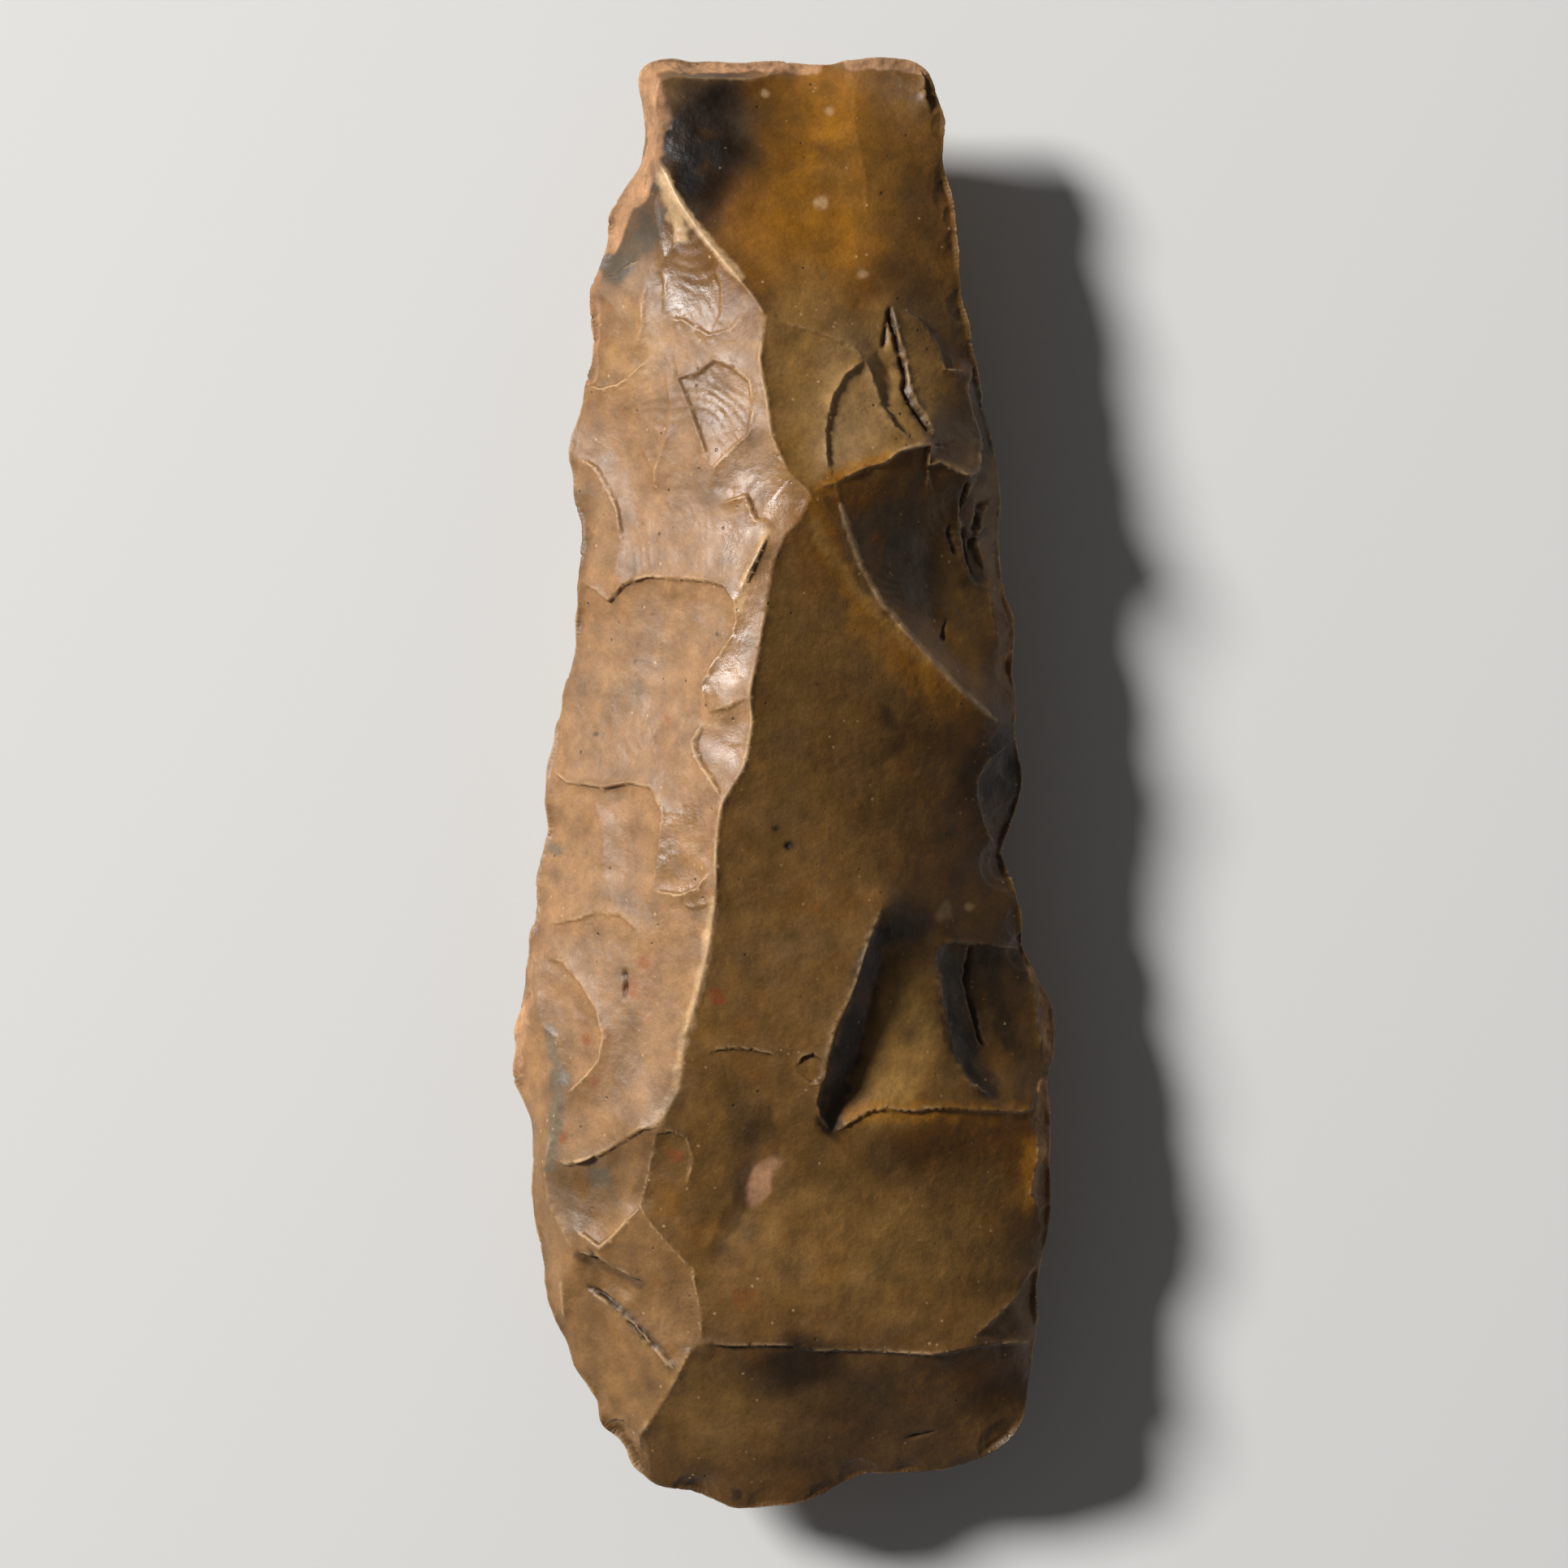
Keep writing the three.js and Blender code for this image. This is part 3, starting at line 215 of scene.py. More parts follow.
# Ripples in the flake scars: where the blow fell, the way that they spread (degrees from +X), half
# of their fan, first and last distance, wavelength and height, in millimetres.
RIPPLES = [
    (-16, 78, -66, 16, 8, 24, 1.3, 0.05),
    (-26, 44, 4, 30, 12, 23, 1.5, 0.045),
    (-14, 32, 78, 32, 5, 20, 1.6, 0.05),
    (-30, 28, 0, 22, 6, 26, 2.1, 0.05),
    (-33, 6, 10, 24, 6, 26, 1.9, 0.045),
    (-34, -12, 10, 30, 5, 24, 2.4, 0.035),
    (-36, -30, 10, 30, 8, 24, 2.2, 0.04),
    (28, 44, 205, 32, 4, 17, 1.7, 0.05),
    (20, 44, 258, 26, 4, 26, 2, 0.06),
    (33, -30, 175, 22, 4, 15, 1.7, 0.05),
    (-1, 48, -78, 18, 6, 18, 0.9, 0.03),
    (-28, -70, 40, 34, 5, 18, 1.8, 0.05),
    (-2, 60, 214, 30, 5, 16, 1.2, 0.045),
    (-20, 0, -20, 26, 3, 14, 1.1, 0.03),
]

# Patches of colour: the colour's name, the centre, half widths along and across, how far the patch
# is turned (degrees), its strength, and how soft its border is. Some are painted shade below arrises
# and one is painted light on the step's floor.
PATCHES = [
    ("amber", 3, 73, 20, 17, 0, 0.9, 0.25),
    ("gold", 4, 76, 7, 13, 8, 0.75, 0.6),
    ("gold", 3, 66, 8, 5, 20, 0.5, 0.7),
    ("olive", 15, 75, 6, 14, 0, 0.7, 0.4),
    ("dark", 18, 70, 3, 5, 20, 0.35, 0.6),
    ("dark", 14, 60, 5, 3, -20, 0.35, 0.6),
    ("black", -10.5, 79, 6.2, 9, -6, 0.97, 0.38),
    ("black", -10, 71.5, 4, 6.5, -28, 0.85, 0.5),
    ("dark", -3.5, 80, 5, 8, 0, 0.5, 0.6),
    ("grey", -19, 68, 4, 7, -20, 1, 0.2),
    ("dark", -18, 71, 2, 5, -20, 0.7, 0.5),
    ("grey", -12.5, 62, 5, 8, 25, 0.35, 0.5),
    ("pale", 8, 46, 4.5, 9, -10, 0.4, 0.4),
    ("straw", 13, 48, 6, 9, 0, 0.55, 0.4),
    ("straw", 3, 50, 5, 12, 0, 0.55, 0.5),
    ("olive", 20, 46, 3, 7, 0, 0.4, 0.5),
    ("grey", 13, 28, 5.5, 9, 30, 0.7, 0.35),
    ("dark", 16, 23, 5, 5, 30, 0.25, 0.5),
    ("amber", 7.5, 35, 5, 2.5, 30, 0.75, 0.45),
    ("amber", 12, 38.5, 4, 1.6, 20, 0.6, 0.5),
    ("amber", 3.5, 27, 3, 7, 10, 0.5, 0.5),
    ("gold", 19, 15, 9, 4, -40, 0.5, 0.5),
    ("amber", 23, 6, 5, 4, 0, 0.55, 0.5),
    ("black", 26, 3, 4, 7, 0, 0.75, 0.5),
    ("dark", 26, -3, 4, 8, 0, 0.75, 0.5),
    ("dark", 24, -14, 7, 8, 0, 0.35, 0.6),
    ("amber", 22, -10, 7, 10, 0, 0.35, 0.6),
    ("black", 12.2, 7, 1.2, 1.8, 0, 0.6, 0.6),
    ("black", 14, 4.5, 1.1, 3, -24, 0.65, 0.6),
    ("black", 14.5, -16, 3.2, 2, -20, 0.7, 0.6),
    ("black", 15, -20, 2.6, 1.5, 0, 0.35, 0.7),
    ("grey", 20, -22, 2.5, 1.6, 0, 0.5, 0.6),
    # Painted light: this straw patch lightens the floor of the step as if the lamp fell full on it.
    ("straw", 14.5, -30, 4, 10, -15, 0.95, 0.4),
    ("dark", 26, -26, 5, 8, 10, 0.55, 0.5),
    ("amber", 22, -43, 10, 3.5, 0, 0.7, 0.5),
    ("amber", 29, -47, 2.4, 7, 0, 0.7, 0.5),
    # Painted shade: darkens the slope just below the lower brow, which is turned away from the lamp.
    ("dark", 16, -44, 5, 3, 0, 0.4, 0.6),
    # Painted shade: darkens the soft valley in the lower scar, on the side turned from the lamp.
    ("dark", -5, -43, 2, 8, 14, 0.45, 0.6),
    ("pink", -1.8, -48.2, 1.3, 3.3, -28, 0.85, 0.25),
    ("straw", 10, -56, 14, 7, 0, 0.35, 0.6),
    # Painted shade: these dark and black patches darken the band just below the edge brow, which falls
    # away from the lamp.
    ("dark", 1, -71, 7, 3.5, 0, 0.75, 0.5),
    ("black", 0, -70.5, 7, 2.6, 0, 0.6, 0.6),
    ("dark", 10, -76, 5, 4, 0, 0.35, 0.6),
    ("amber", 25, -71.5, 6, 2.5, -6, 0.55, 0.6),
    ("dark", 26, -76, 4, 3, 0, 0.4, 0.6),
    ("straw", -8, -76, 7, 6, 0, 0.35, 0.6),
    ("grey", -24, -50, 4, 5, 0, 0.5, 0.5),
    ("grey", -27, -40, 1.6, 10, 0, 0.35, 0.5),
    ("amber", -14, 30, 9, 5, 10, 0.18, 0.8),
    ("straw", -20, 52, 4, 6, 0, 0.3, 0.6),
    ("grey", -24, 70, 5, 5, 0, 0.35, 0.6),
    ("amber", -27, -30, 4, 6, 0, 0.15, 0.8),
]

# Strokes of colour along a line: the colour's name, half the width, the strength and the line.
# Some are painted shade on a steep wall and in grooves.
STROKES = [
    # Painted shadow: this black stroke darkens the steep wall under the step lip, where the lamp's shade
    # falls.
    ("black", 1.6, 0.85, [(11.4, -18.6), (10.2, -22.6), (9, -27.4), (7.6, -32.4), (6.4, -37),
                          (5.6, -41)]),
    ("dark", 1.3, 0.8, [(19.6, -21.6), (20.2, -26), (21, -30.6), (22.8, -34.6), (25.4, -37)]),
    ("dark", 1.2, 0.6, [(25.2, -22), (26.4, -27), (27.6, -32)]),
    ("gold", 1.2, 0.7, [(8, -40), (12.5, -39.5), (18, -39.8), (24, -40.2), (29.6, -40.6)]),
    ("gold", 1, 0.7, [(30, -44), (30.3, -48), (30, -52)]),
    ("gold", 1.1, 0.75, [(4.4, 35.2), (6.6, 36.4), (9.8, 38.2), (12.4, 39)]),
    ("gold", 1.1, 0.6, [(4, 34), (5, 30), (6.4, 26), (8.8, 22)]),
    ("straw", 0.7, 0.6, [(3.8, 31), (6, 26.8), (8.5, 23.5), (11.1, 20.7), (13.6, 17.9), (17, 15)]),
    ("pale", 0.35, 0.6, [(6.9, 33.4), (7.8, 30.4), (9.4, 26), (12, 21.6), (16.6, 16.6), (21.6, 11.4),
                         (25.2, 8.4)]),
    ("gold", 2, 0.4, [(9, 20), (14, 15), (19, 10), (24, 7)]),
    ("dark", 0.9, 0.6, [(13.3, 58), (13.9, 54), (14.9, 50), (15.6, 46.6), (17.6, 42.8)]),
    ("dark", 1.4, 0.5, [(22.2, 37), (21.6, 33), (22.2, 29), (23, 25.4)]),
    ("black", 1, 0.6, [(24.2, 37.6), (24.8, 42), (24, 46), (23.2, 50)]),
    # Painted shade: darkens the soft valley in the lower scar, on the side turned from the lamp.
    ("dark", 1, 0.5, [(-1, -44), (-2.6, -39.6), (-4, -42), (-4.6, -46), (-5.8, -51), (-8, -56)]),
    # Painted shade: the next two strokes darken the slot and the long groove at the lower left, in their
    # own shade.
    ("dark", 0.7, 0.5, [(-25, -57.4), (-22.4, -58), (-20, -59.4), (-17.6, -60.6)]),
    ("dark", 0.6, 0.5, [(-13.6, -70.6), (-16.4, -67.6), (-19.4, -64.6), (-23, -62)]),
    ("stain", 0.8, 0.5, [(-28.6, -30), (-27.8, -36), (-28, -42), (-28.8, -47)]),
    ("pale", 0.5, 0.7, [(-15.6, 75.8), (-13.6, 72), (-11, 68), (-8, 64.4), (-5.2, 61)]),
    ("pale", 0.8, 0.6, [(-15, 74), (-13.6, 70.4), (-12.4, 66.4)]),
    ("pale", 0.5, 0.55, [(-2.2, 30), (-3.4, 27), (-4.8, 23.8), (-5.4, 21)]),
    ("pale", 0.6, 0.5, [(-8.4, -14), (-9.2, -20), (-10.4, -25.4), (-12, -30.4), (-13, -36.4),
                        (-15.4, -41)]),
    ("dark", 0.8, 0.35, [(-20.2, 49.8), (-22.6, 49.4), (-24.4, 50.2)]),
    ("amber", 1.6, 0.35, [(-22.6, 60), (-23.2, 54), (-24.2, 48)]),
    ("amber", 1.4, 0.3, [(-24.4, 34), (-24.8, 28), (-26, 20), (-27.4, 12)]),
    ("umber", 1.6, 0.5, [(-9.4, -33), (-12.2, -37), (-15, -42), (-16.4, -48)]),
]

# Facets that are glossier than the rest, as they turn their fresh flint to the light: the centre,
# half widths along and across, turn in degrees, and strength.
GLOSSY = [
    (-11.8, 61.5, 3.6, 8, 20, 0.9), (-13.6, 71, 1.6, 5.5, 28, 0.9), (-7, 45.6, 3, 6, 0, 0.6),
    (0.8, 36.6, 2.6, 5.4, -14, 1), (-4.4, 35.6, 2, 4.6, 0, 0.6), (-6, 28, 2, 5, 0, 0.6),
    (-4.6, 22, 1.8, 8.6, -18, 0.95), (-7.4, 13, 2, 5, -28, 0.95), (-7.2, 4.6, 2.4, 5, 0, 0.5),
    (-12, -7.6, 3.2, 5.6, 0, 0.95), (-10, -14, 2, 1.2, 0, 0.9), (-10.6, -28, 2, 8, 10, 0.5),
    (-22, -50, 4, 4, 0, 0.4), (4, 76, 12, 10, 0, 0.45), (-10, 78, 5, 9, 0, 0.6),
]

# Rust and blue-green stains: the colour's name, the centre, the half width and the strength.
SPOTS = [
    ("rust", -8, -25.5, 0.9, 0.75), ("rust", -24, -31, 0.7, 0.6), ("rust", -13, -44.6, 0.9, 0.7),
    ("rust", -27, -43, 0.7, 0.6), ("rust", -17, -21.5, 0.7, 0.6), ("rust", -5, -62, 1.3, 0.4),
    ("rust", -18.6, -24.6, 1, 0.5), ("rust", 29, 9, 0.8, 0.5), ("rust", -14, 8, 0.5, 0.4),
    ("rust", 11, 29.6, 0.6, 0.5), ("rust", 22, 33, 0.8, 0.4), ("rust", -21.6, -30.6, 0.8, 0.4),
    ("rust", 27.6, 19.6, 1.2, 0.4), ("rust", -6, 0.6, 0.5, 0.5), ("rust", -23, -36, 0.6, 0.5),
    ("stain", -28, -8, 0.9, 0.5), ("stain", -27, -36, 0.8, 0.5), ("stain", -22.6, -47.6, 1.4, 0.5),
    ("stain", -26, 36, 0.6, 0.4),
    ("black", 0.55, -7.4, 0.6, 0.9), ("black", -1, -5.2, 0.35, 0.7), ("black", -23, 6, 0.3, 0.6),
    ("black", -8, 18, 0.25, 0.6), ("black", -18, 15, 0.25, 0.6), ("black", 4, 12, 0.3, 0.5),
    ("pale", 4.6, 71, 0.8, 0.6), ("pale", 5.5, 82.4, 0.6, 0.5), ("pale", 9.6, 62, 0.5, 0.5),
    ("pale", -2.2, 84.6, 0.5, 0.5), ("pale", 19.6, -15.6, 1, 0.3), ("pale", 22.6, -15, 0.5, 0.5),
    ("black", -6, -87.5, 0.7, 0.6),
]

# The rind: the nodule's own rough skin, as strips with their half widths.
RIND = [
    (1.5, [(-16.2, 87.6), (-16.6, 84), (-16.2, 80.4), (-15.8, 78), (-16.6, 76), (-18.6, 73),
           (-20.8, 70), (-22, 67.4)]),
    (1, [(-15, 88.4), (-9, 88.2), (-3.4, 88.6), (4, 88.6)]),
    (0.8, [(8, 88.8), (14, 88.8), (17, 88)]),
    (1.2, [(31, -20.4), (32.2, -24.6), (32.8, -29), (33, -33)]),
    (0.9, [(32.2, -37), (32.4, -42), (32.6, -46)]),
    (0.9, [(-31.8, -22), (-32.6, -30), (-33, -35)]),
    (0.8, [(-23.4, 63), (-24, 57), (-24.4, 50)]),
    (0.7, [(28.4, 16), (28.6, 20), (27.6, 24)]),
]


def srgb(red, green, blue):
    """A colour picked as 0 to 255 per channel, as the linear values that Blender stores."""
    return tuple(((c / 255 + 0.055) / 1.055) ** 2.4 for c in (red, green, blue))


def colour_property(name, description, red, green, blue):
    return bpy.props.FloatVectorProperty(
        name=name, description=description, subtype="COLOR", size=3, min=0, max=1,
        default=srgb(red, green, blue),
    )


def length_property(name, description, millimetres):
    return bpy.props.FloatProperty(
        name=name, description=description, unit="LENGTH", min=0, precision=5,
        default=millimetres * MM,
    )


class FlintStoneSettings(bpy.types.PropertyGroup):
    """How finely the stone is worked."""

    levels: bpy.props.IntProperty(
        name="Levels", description="How often each facet of the solid is split", default=3, min=1, max=4)
    seed: bpy.props.IntProperty(
        name="Seed", description="Start of every random draw on the stone", default=29)
    lip: length_property("Lip", "Height of a strong lip along an arris", 0.17)
    swell: length_property("Swell", "Height of the broad unevenness of a flake scar", 0.1)
    grain: length_property("Grain", "Height of the fine unevenness of the flint", 0.02)
    rind: length_property("Rind", "Height of the rough rind", 0.16)
    chip: length_property("Chip", "Depth of the small chips along the edge", 0.32)
    chips: bpy.props.IntProperty(
        name="Chips", description="Number of small chips round the edge, over both faces", default=210)
    nibble: length_property("Nibble", "How far the edge line strays in and out", 0.16)


class FlintColourSettings(bpy.types.PropertyGroup):
    """The colours inside the flint, and those of its rind and stains."""

    # Tan and brown differ partly as the flint's own colours and partly as painted shade: brown also
    # darkens the right side, which is turned from the lamp.
    tan: colour_property("Tan", "Patinated flint of the left side", 148, 109, 70)
    brown: colour_property("Brown", "Flint of the right side", 116, 82, 38)
    fawn: colour_property("Fawn", "Flint of the lower left", 132, 96, 56)
    umber: colour_property("Umber", "Flint by the cutting edge", 98, 68, 34)
    amber: colour_property("Amber", "Clear yellow-brown flint", 116, 72, 18)
    gold: colour_property("Gold", "Brightest clear flint by the butt", 158, 104, 26)
    olive: colour_property("Olive", "Greenish brown flint", 106, 74, 30)
    # Also used for the painted light on the step's floor.
    straw: colour_property("Straw", "Opaque yellowish flint", 160, 120, 62)
    pale: colour_property("Pale", "Worn arrises and white specks", 208, 170, 124)
    grey: colour_property("Grey", "Grey, half-clear flint", 80, 64, 44)
    # Also used for painted shade below arrises, in grooves and in hollows.
    dark: colour_property("Dark", "Dark brown flint", 46, 30, 14)
    # Also used for the painted shadow on the step wall and below the edge brow.
    black: colour_property("Black", "Near-black flint", 20, 13, 7)
    pink: colour_property("Pink", "Chalky inclusion", 176, 130, 96)
    skin: colour_property("Rind", "Chalky rind", 172, 128, 90)
    rust: colour_property("Rust", "Iron stain", 134, 66, 24)
    stain: colour_property("Stain", "Blue-green stain", 78, 84, 74)


class PhotoStageSettings(bpy.types.PropertyGroup):
    """The floor, the lamp and the camera."""

    floor_size: bpy.props.FloatProperty(
        name="Floor", description="Length of the floor's sides", default=8, unit="LENGTH")
    floor_colour: colour_property("Floor colour", "Plain pale floor", 226, 225, 222)
    camera_height: bpy.props.FloatProperty(
        name="Camera height", description="Camera's height above the floor", default=0.552,
        unit="LENGTH")
    lens: bpy.props.FloatProperty(
        name="Lens", description="Focal length in millimetres", default=100)
    key_power: bpy.props.FloatProperty(
        name="Key lamp", description="Power of the lamp on the left", default=98, unit="POWER")
    key_distance: bpy.props.FloatProperty(
        name="Key distance", description="From the stone to the key lamp", default=2.6, unit="LENGTH")
    key_size: bpy.props.FloatProperty(
        name="Key size", description="Width of the key lamp's disk", default=0.62, unit="LENGTH")
    key_height: bpy.props.FloatProperty(
        name="Key elevation", description="Angle of the key lamp above the floor",
        default=math.radians(35), subtype="ANGLE")
    key_turn: bpy.props.FloatProperty(
        name="Key turn", description="How far the key lamp stands towards the butt",
        default=math.radians(28), subtype="ANGLE")
    ambient: bpy.props.FloatProperty(
        name="Ambient", description="Level of the even light all round", default=0.08)


def ramp(low, high, value):
    """Goes smoothly from 0 at low to 1 at high."""
    share = np.clip((value - low) / (high - low), 0, 1)
    return share * share * (3 - 2 * share)


def mixed(first, second, share):
    return first + (second - first) * share


class Unevenness:
    """Smooth random fields over space, each from its own part of one seeded block of numbers."""

    SIDE = 64

    def __init__(self, seed):
        draw = np.random.default_rng(seed)
        self.block = draw.uniform(-1, 1, (self.SIDE,) * 3).astype(np.float32)

    def field(self, points, size, start=0.0):
        """Values from -1 to 1 whose bumps are about size across."""
        place = points / size + start * 7.31
        corner = np.floor(place).astype(np.int64)
        share = (place - corner).astype(np.float32)
        share = share * share * (3 - 2 * share)
        total = np.zeros(len(points), np.float32)
        for number in range(8):
            step = np.array([number & 1, number >> 1 & 1, number >> 2 & 1])
            x, y, z = ((corner + step) % self.SIDE).T
            weight = np.prod(np.where(step, share, 1 - share), axis=1)
            total += weight * self.block[x, y, z]
        return total

    def rough(self, points, size, octaves, start=0.0):
        """Several fields, each half as wide and half as high as the one before."""
        total = 0
        height = 1
        for number in range(octaves):
            total = total + height * self.field(points, size / 2 ** number, start + number)
            height /= 2
        return total


class Skin:
    """The dense surface in millimetres, sorted by Y so that what lies near a line is found fast."""

    def __init__(self, points, normals):
        self.points = points
        self.normals = normals
        self.order = np.argsort(points[:, 1])
        self.sorted_y = points[self.order, 1]

    def inside(self, low, high, face):
        """The points of one face, 1 for upper and -1 for lower, in an upright box."""
        first, last = np.searchsorted(self.sorted_y, (low[1], high[1]))
        chosen = self.order[first:last]
        x = self.points[chosen, 0]
        kept = (x > low[0]) & (x < high[0]) & (self.normals[chosen, 2] * face > -0.15)
        return chosen[kept]

    def near(self, line, reach, face=1):
        """Points within reach of a line: which, how far off, whether on its right, and how far
        from its ends."""
        line = np.array(line, float)
        chosen = self.inside(line.min(axis=0) - reach, line.max(axis=0) + reach, face)
        places = self.points[chosen, :2]
        gap = np.full(len(chosen), np.inf)
        right = np.zeros(len(chosen), bool)
        along = np.zeros(len(chosen))
        run = 0
        for start, end in zip(line[:-1], line[1:]):
            step = end - start
            length = math.hypot(*step)
            share = np.clip((places - start) @ step / length ** 2, 0, 1)
            off = places - start - share[:, None] * step
            distance = np.hypot(off[:, 0], off[:, 1])
            closer = distance < gap
            gap[closer] = distance[closer]
            right[closer] = (step[0] * off[closer, 1] - step[1] * off[closer, 0]) < 0
            along[closer] = run + share[closer] * length
            run += length
        kept = gap < reach
        to_end = np.minimum(along, run - along)
        return chosen[kept], gap[kept], right[kept], to_end[kept]


def welded(mesh):
    """The mesh opened for editing, with the points that lie in one place joined."""
    work = bmesh.new()
    work.from_mesh(mesh)
    bmesh.ops.remove_doubles(work, verts=work.verts, dist=SAME_PLACE)
    return work


def dense_copy(solid, levels):
    """A copy of the solid's mesh, with its sharp arrises creased, split into small facets."""
    mesh = solid.data.copy()
    work = welded(mesh)
    crease = work.edges.layers.float.get("crease_edge") or work.edges.layers.float.new("crease_edge")
    for edge in work.edges:
        edge[crease] = crease_of(edge)
    for face in work.faces:
        face.smooth = True
    work.to_mesh(mesh)
    work.free()
    piece = bpy.data.objects.new(NODE + "_worked", mesh)
    bpy.context.scene.collection.objects.link(piece)
    split = piece.modifiers.new("Split", "SUBSURF")
    split.levels = levels
    split.render_levels = levels
    split.use_limit_surface = False
    ready = piece.evaluated_get(bpy.context.evaluated_depsgraph_get())
    dense = bpy.data.meshes.new_from_object(ready)
    piece.modifiers.clear()
    piece.data = dense
    bpy.data.meshes.remove(mesh)
    return piece


# An edge is sharp from this angle, and carries on where the next one turns no further than this.
SHARP = math.radians(30)
CARRIES_ON = math.cos(math.radians(38))
# Points of the solid closer than this, in metres, are one point.
SAME_PLACE = 1e-6


def crease_of(edge):
    """Full for a sharp edge that carries on into another sharp edge, and none for the rest."""
    if len(edge.link_faces) != 2:
        return 0
    if edge.calc_face_angle(0) < SHARP:
        return 0
    return min(1, max(goes_on(edge, edge.verts[0]), goes_on(edge, edge.verts[1])))


def goes_on(edge, corner):
    """How straight the sharpest way on from an edge's end is: 0 where it stops."""
    own = corner.co - edge.other_vert(corner).co
    best = 0
    for other in corner.link_edges:
        if other is edge or len(other.link_faces) != 2:
            continue
        if other.calc_face_angle(0) < SHARP:
            continue
        ahead = other.other_vert(corner).co - corner.co
        if ahead.length * own.length > 0 and ahead.dot(own) > CARRIES_ON * ahead.length * own.length:
            best = 1
    return best


def read_vectors(mesh, name):
    """The places ("co") or the normals ("normal") of all the mesh's points."""
    flat = np.empty(len(mesh.vertices) * 3, np.float32)
    mesh.vertices.foreach_get(name, flat)
    return flat.reshape(-1, 3).astype(np.float64)


def read_edges(mesh):
    flat = np.empty(len(mesh.edges) * 2, np.int32)
    mesh.edges.foreach_get("vertices", flat)
    return flat.reshape(-1, 2)


def rim_samples(solid, spacing=0.5):
    """Points along the edge line, where the upper face meets the lower one, in millimetres."""
    work = welded(solid.data)
    samples = []
    for edge in work.edges:
        ups = [face.normal.z > 0 for face in edge.link_faces]
        if len(ups) != 2 or ups[0] == ups[1]:
            continue
        start, end = (np.array(corner.co) / MM for corner in edge.verts)
        count = max(1, round(float(np.linalg.norm(end - start)) / spacing))
        samples += [start + (end - start) * number / count for number in range(count)]
    work.free()
    return np.array(samples)


def distance_to_rim(skin, samples, reach=5.0):
    """How far each point lies from the edge line, up to reach."""
    distance = np.full(len(skin.points), reach)
    for sample in samples:
        first, last = np.searchsorted(skin.sorted_y, (sample[1] - reach, sample[1] + reach))
        chosen = skin.order[first:last]
        chosen = chosen[np.abs(skin.points[chosen, 0] - sample[0]) < reach]
        gap = np.linalg.norm(skin.points[chosen] - sample, axis=1)
        distance[chosen] = np.minimum(distance[chosen], gap)
    return distance


# How far a lip, the steep start of a scar and its long fall reach from the arris, in millimetres.
LIP_REACH = 0.42
STEEP_REACH = 0.9
LONG_REACH = 2.8
LIP_FADE = 2.2


def lips(skin, noise, height):
    """The crisp lip along each arris, and the scar that falls away on its right."""
    lift = np.zeros(len(skin.points))
    for rise, drop, line in ARRISES:
        chosen, gap, right, to_end = skin.near(line, 8)
        strength = ramp(0, LIP_FADE, to_end) * (1 + 0.4 * noise.field(skin.points[chosen], 2.2, rise))
        lip = rise * np.exp(-gap / LIP_REACH)
        slope = 0.8 * np.exp(-gap / STEEP_REACH) + 0.9 * np.exp(-gap / LONG_REACH)
        fall = drop * right * ramp(0, 0.25, gap) * slope
        lift[chosen] += height * strength * (lip - fall)
    return lift


CRACK_HALF_WIDTH = 0.26


def cracks(skin, noise):
    """How deep the cracks go, and how dark they are."""
    lift = np.zeros(len(skin.points))
    shade = np.zeros(len(skin.points))
    for depth, line in CRACKS:
        chosen, gap, _, to_end = skin.near(line, 1.6)
        stray = gap + 0.18 * noise.field(skin.points[chosen], 0.9, depth)
        strength = ramp(0, 1.2, to_end)
        groove = np.exp(-(np.abs(stray) / CRACK_HALF_WIDTH) ** 2) * strength
        lift[chosen] -= 0.1 * depth * groove
        shade[chosen] = np.maximum(shade[chosen], groove * min(1, depth / 4))
    return lift, shade


# How far a ripple wanders, in wavelengths, and how high all of them stand.
RIPPLE_WANDER = 2.2
RIPPLE_STRENGTH = 1.3


def ripples(skin, noise):
    """The rings that spread through a flake scar from where the blow fell."""
    lift = np.zeros(len(skin.points))
    for x, y, toward, half, first, last, wave, height in RIPPLES:
        chosen = skin.inside((x - last, y - last), (x + last, y + last), 1)
        off = skin.points[chosen, :2] - (x, y)
        far = np.hypot(off[:, 0], off[:, 1])
        turn = np.degrees(np.arctan2(off[:, 1], off[:, 0])) - toward
        turn = np.abs((turn + 180) % 360 - 180)
        where = ramp(half, half * 0.6, turn) * ramp(first, first + 3, far) * ramp(last, last - 4, far)
        warp = RIPPLE_WANDER * noise.field(skin.points[chosen], 6, wave) * wave
        phase = (far + warp) / wave
        ring = 1 - 2 * np.abs((phase % 1) - 0.5) ** 0.7
        patchy = 0.5 + 0.5 * noise.field(skin.points[chosen], 5, wave + 3)
        lift[chosen] += height * where * ring * patchy * RIPPLE_STRENGTH
    return lift


def rind_cover(skin, noise):
    """Where the rind lies: 1 on it, 0 off it."""
    cover = np.zeros(len(skin.points))
    for half, line in RIND:
        chosen, gap, _, _ = skin.near(line, half * 3)
        stray = gap + 0.7 * half * noise.rough(skin.points[chosen], 3, 3, half)
        cover[chosen] = np.maximum(cover[chosen], ramp(half * 1.35, half * 0.85, stray))
    return cover


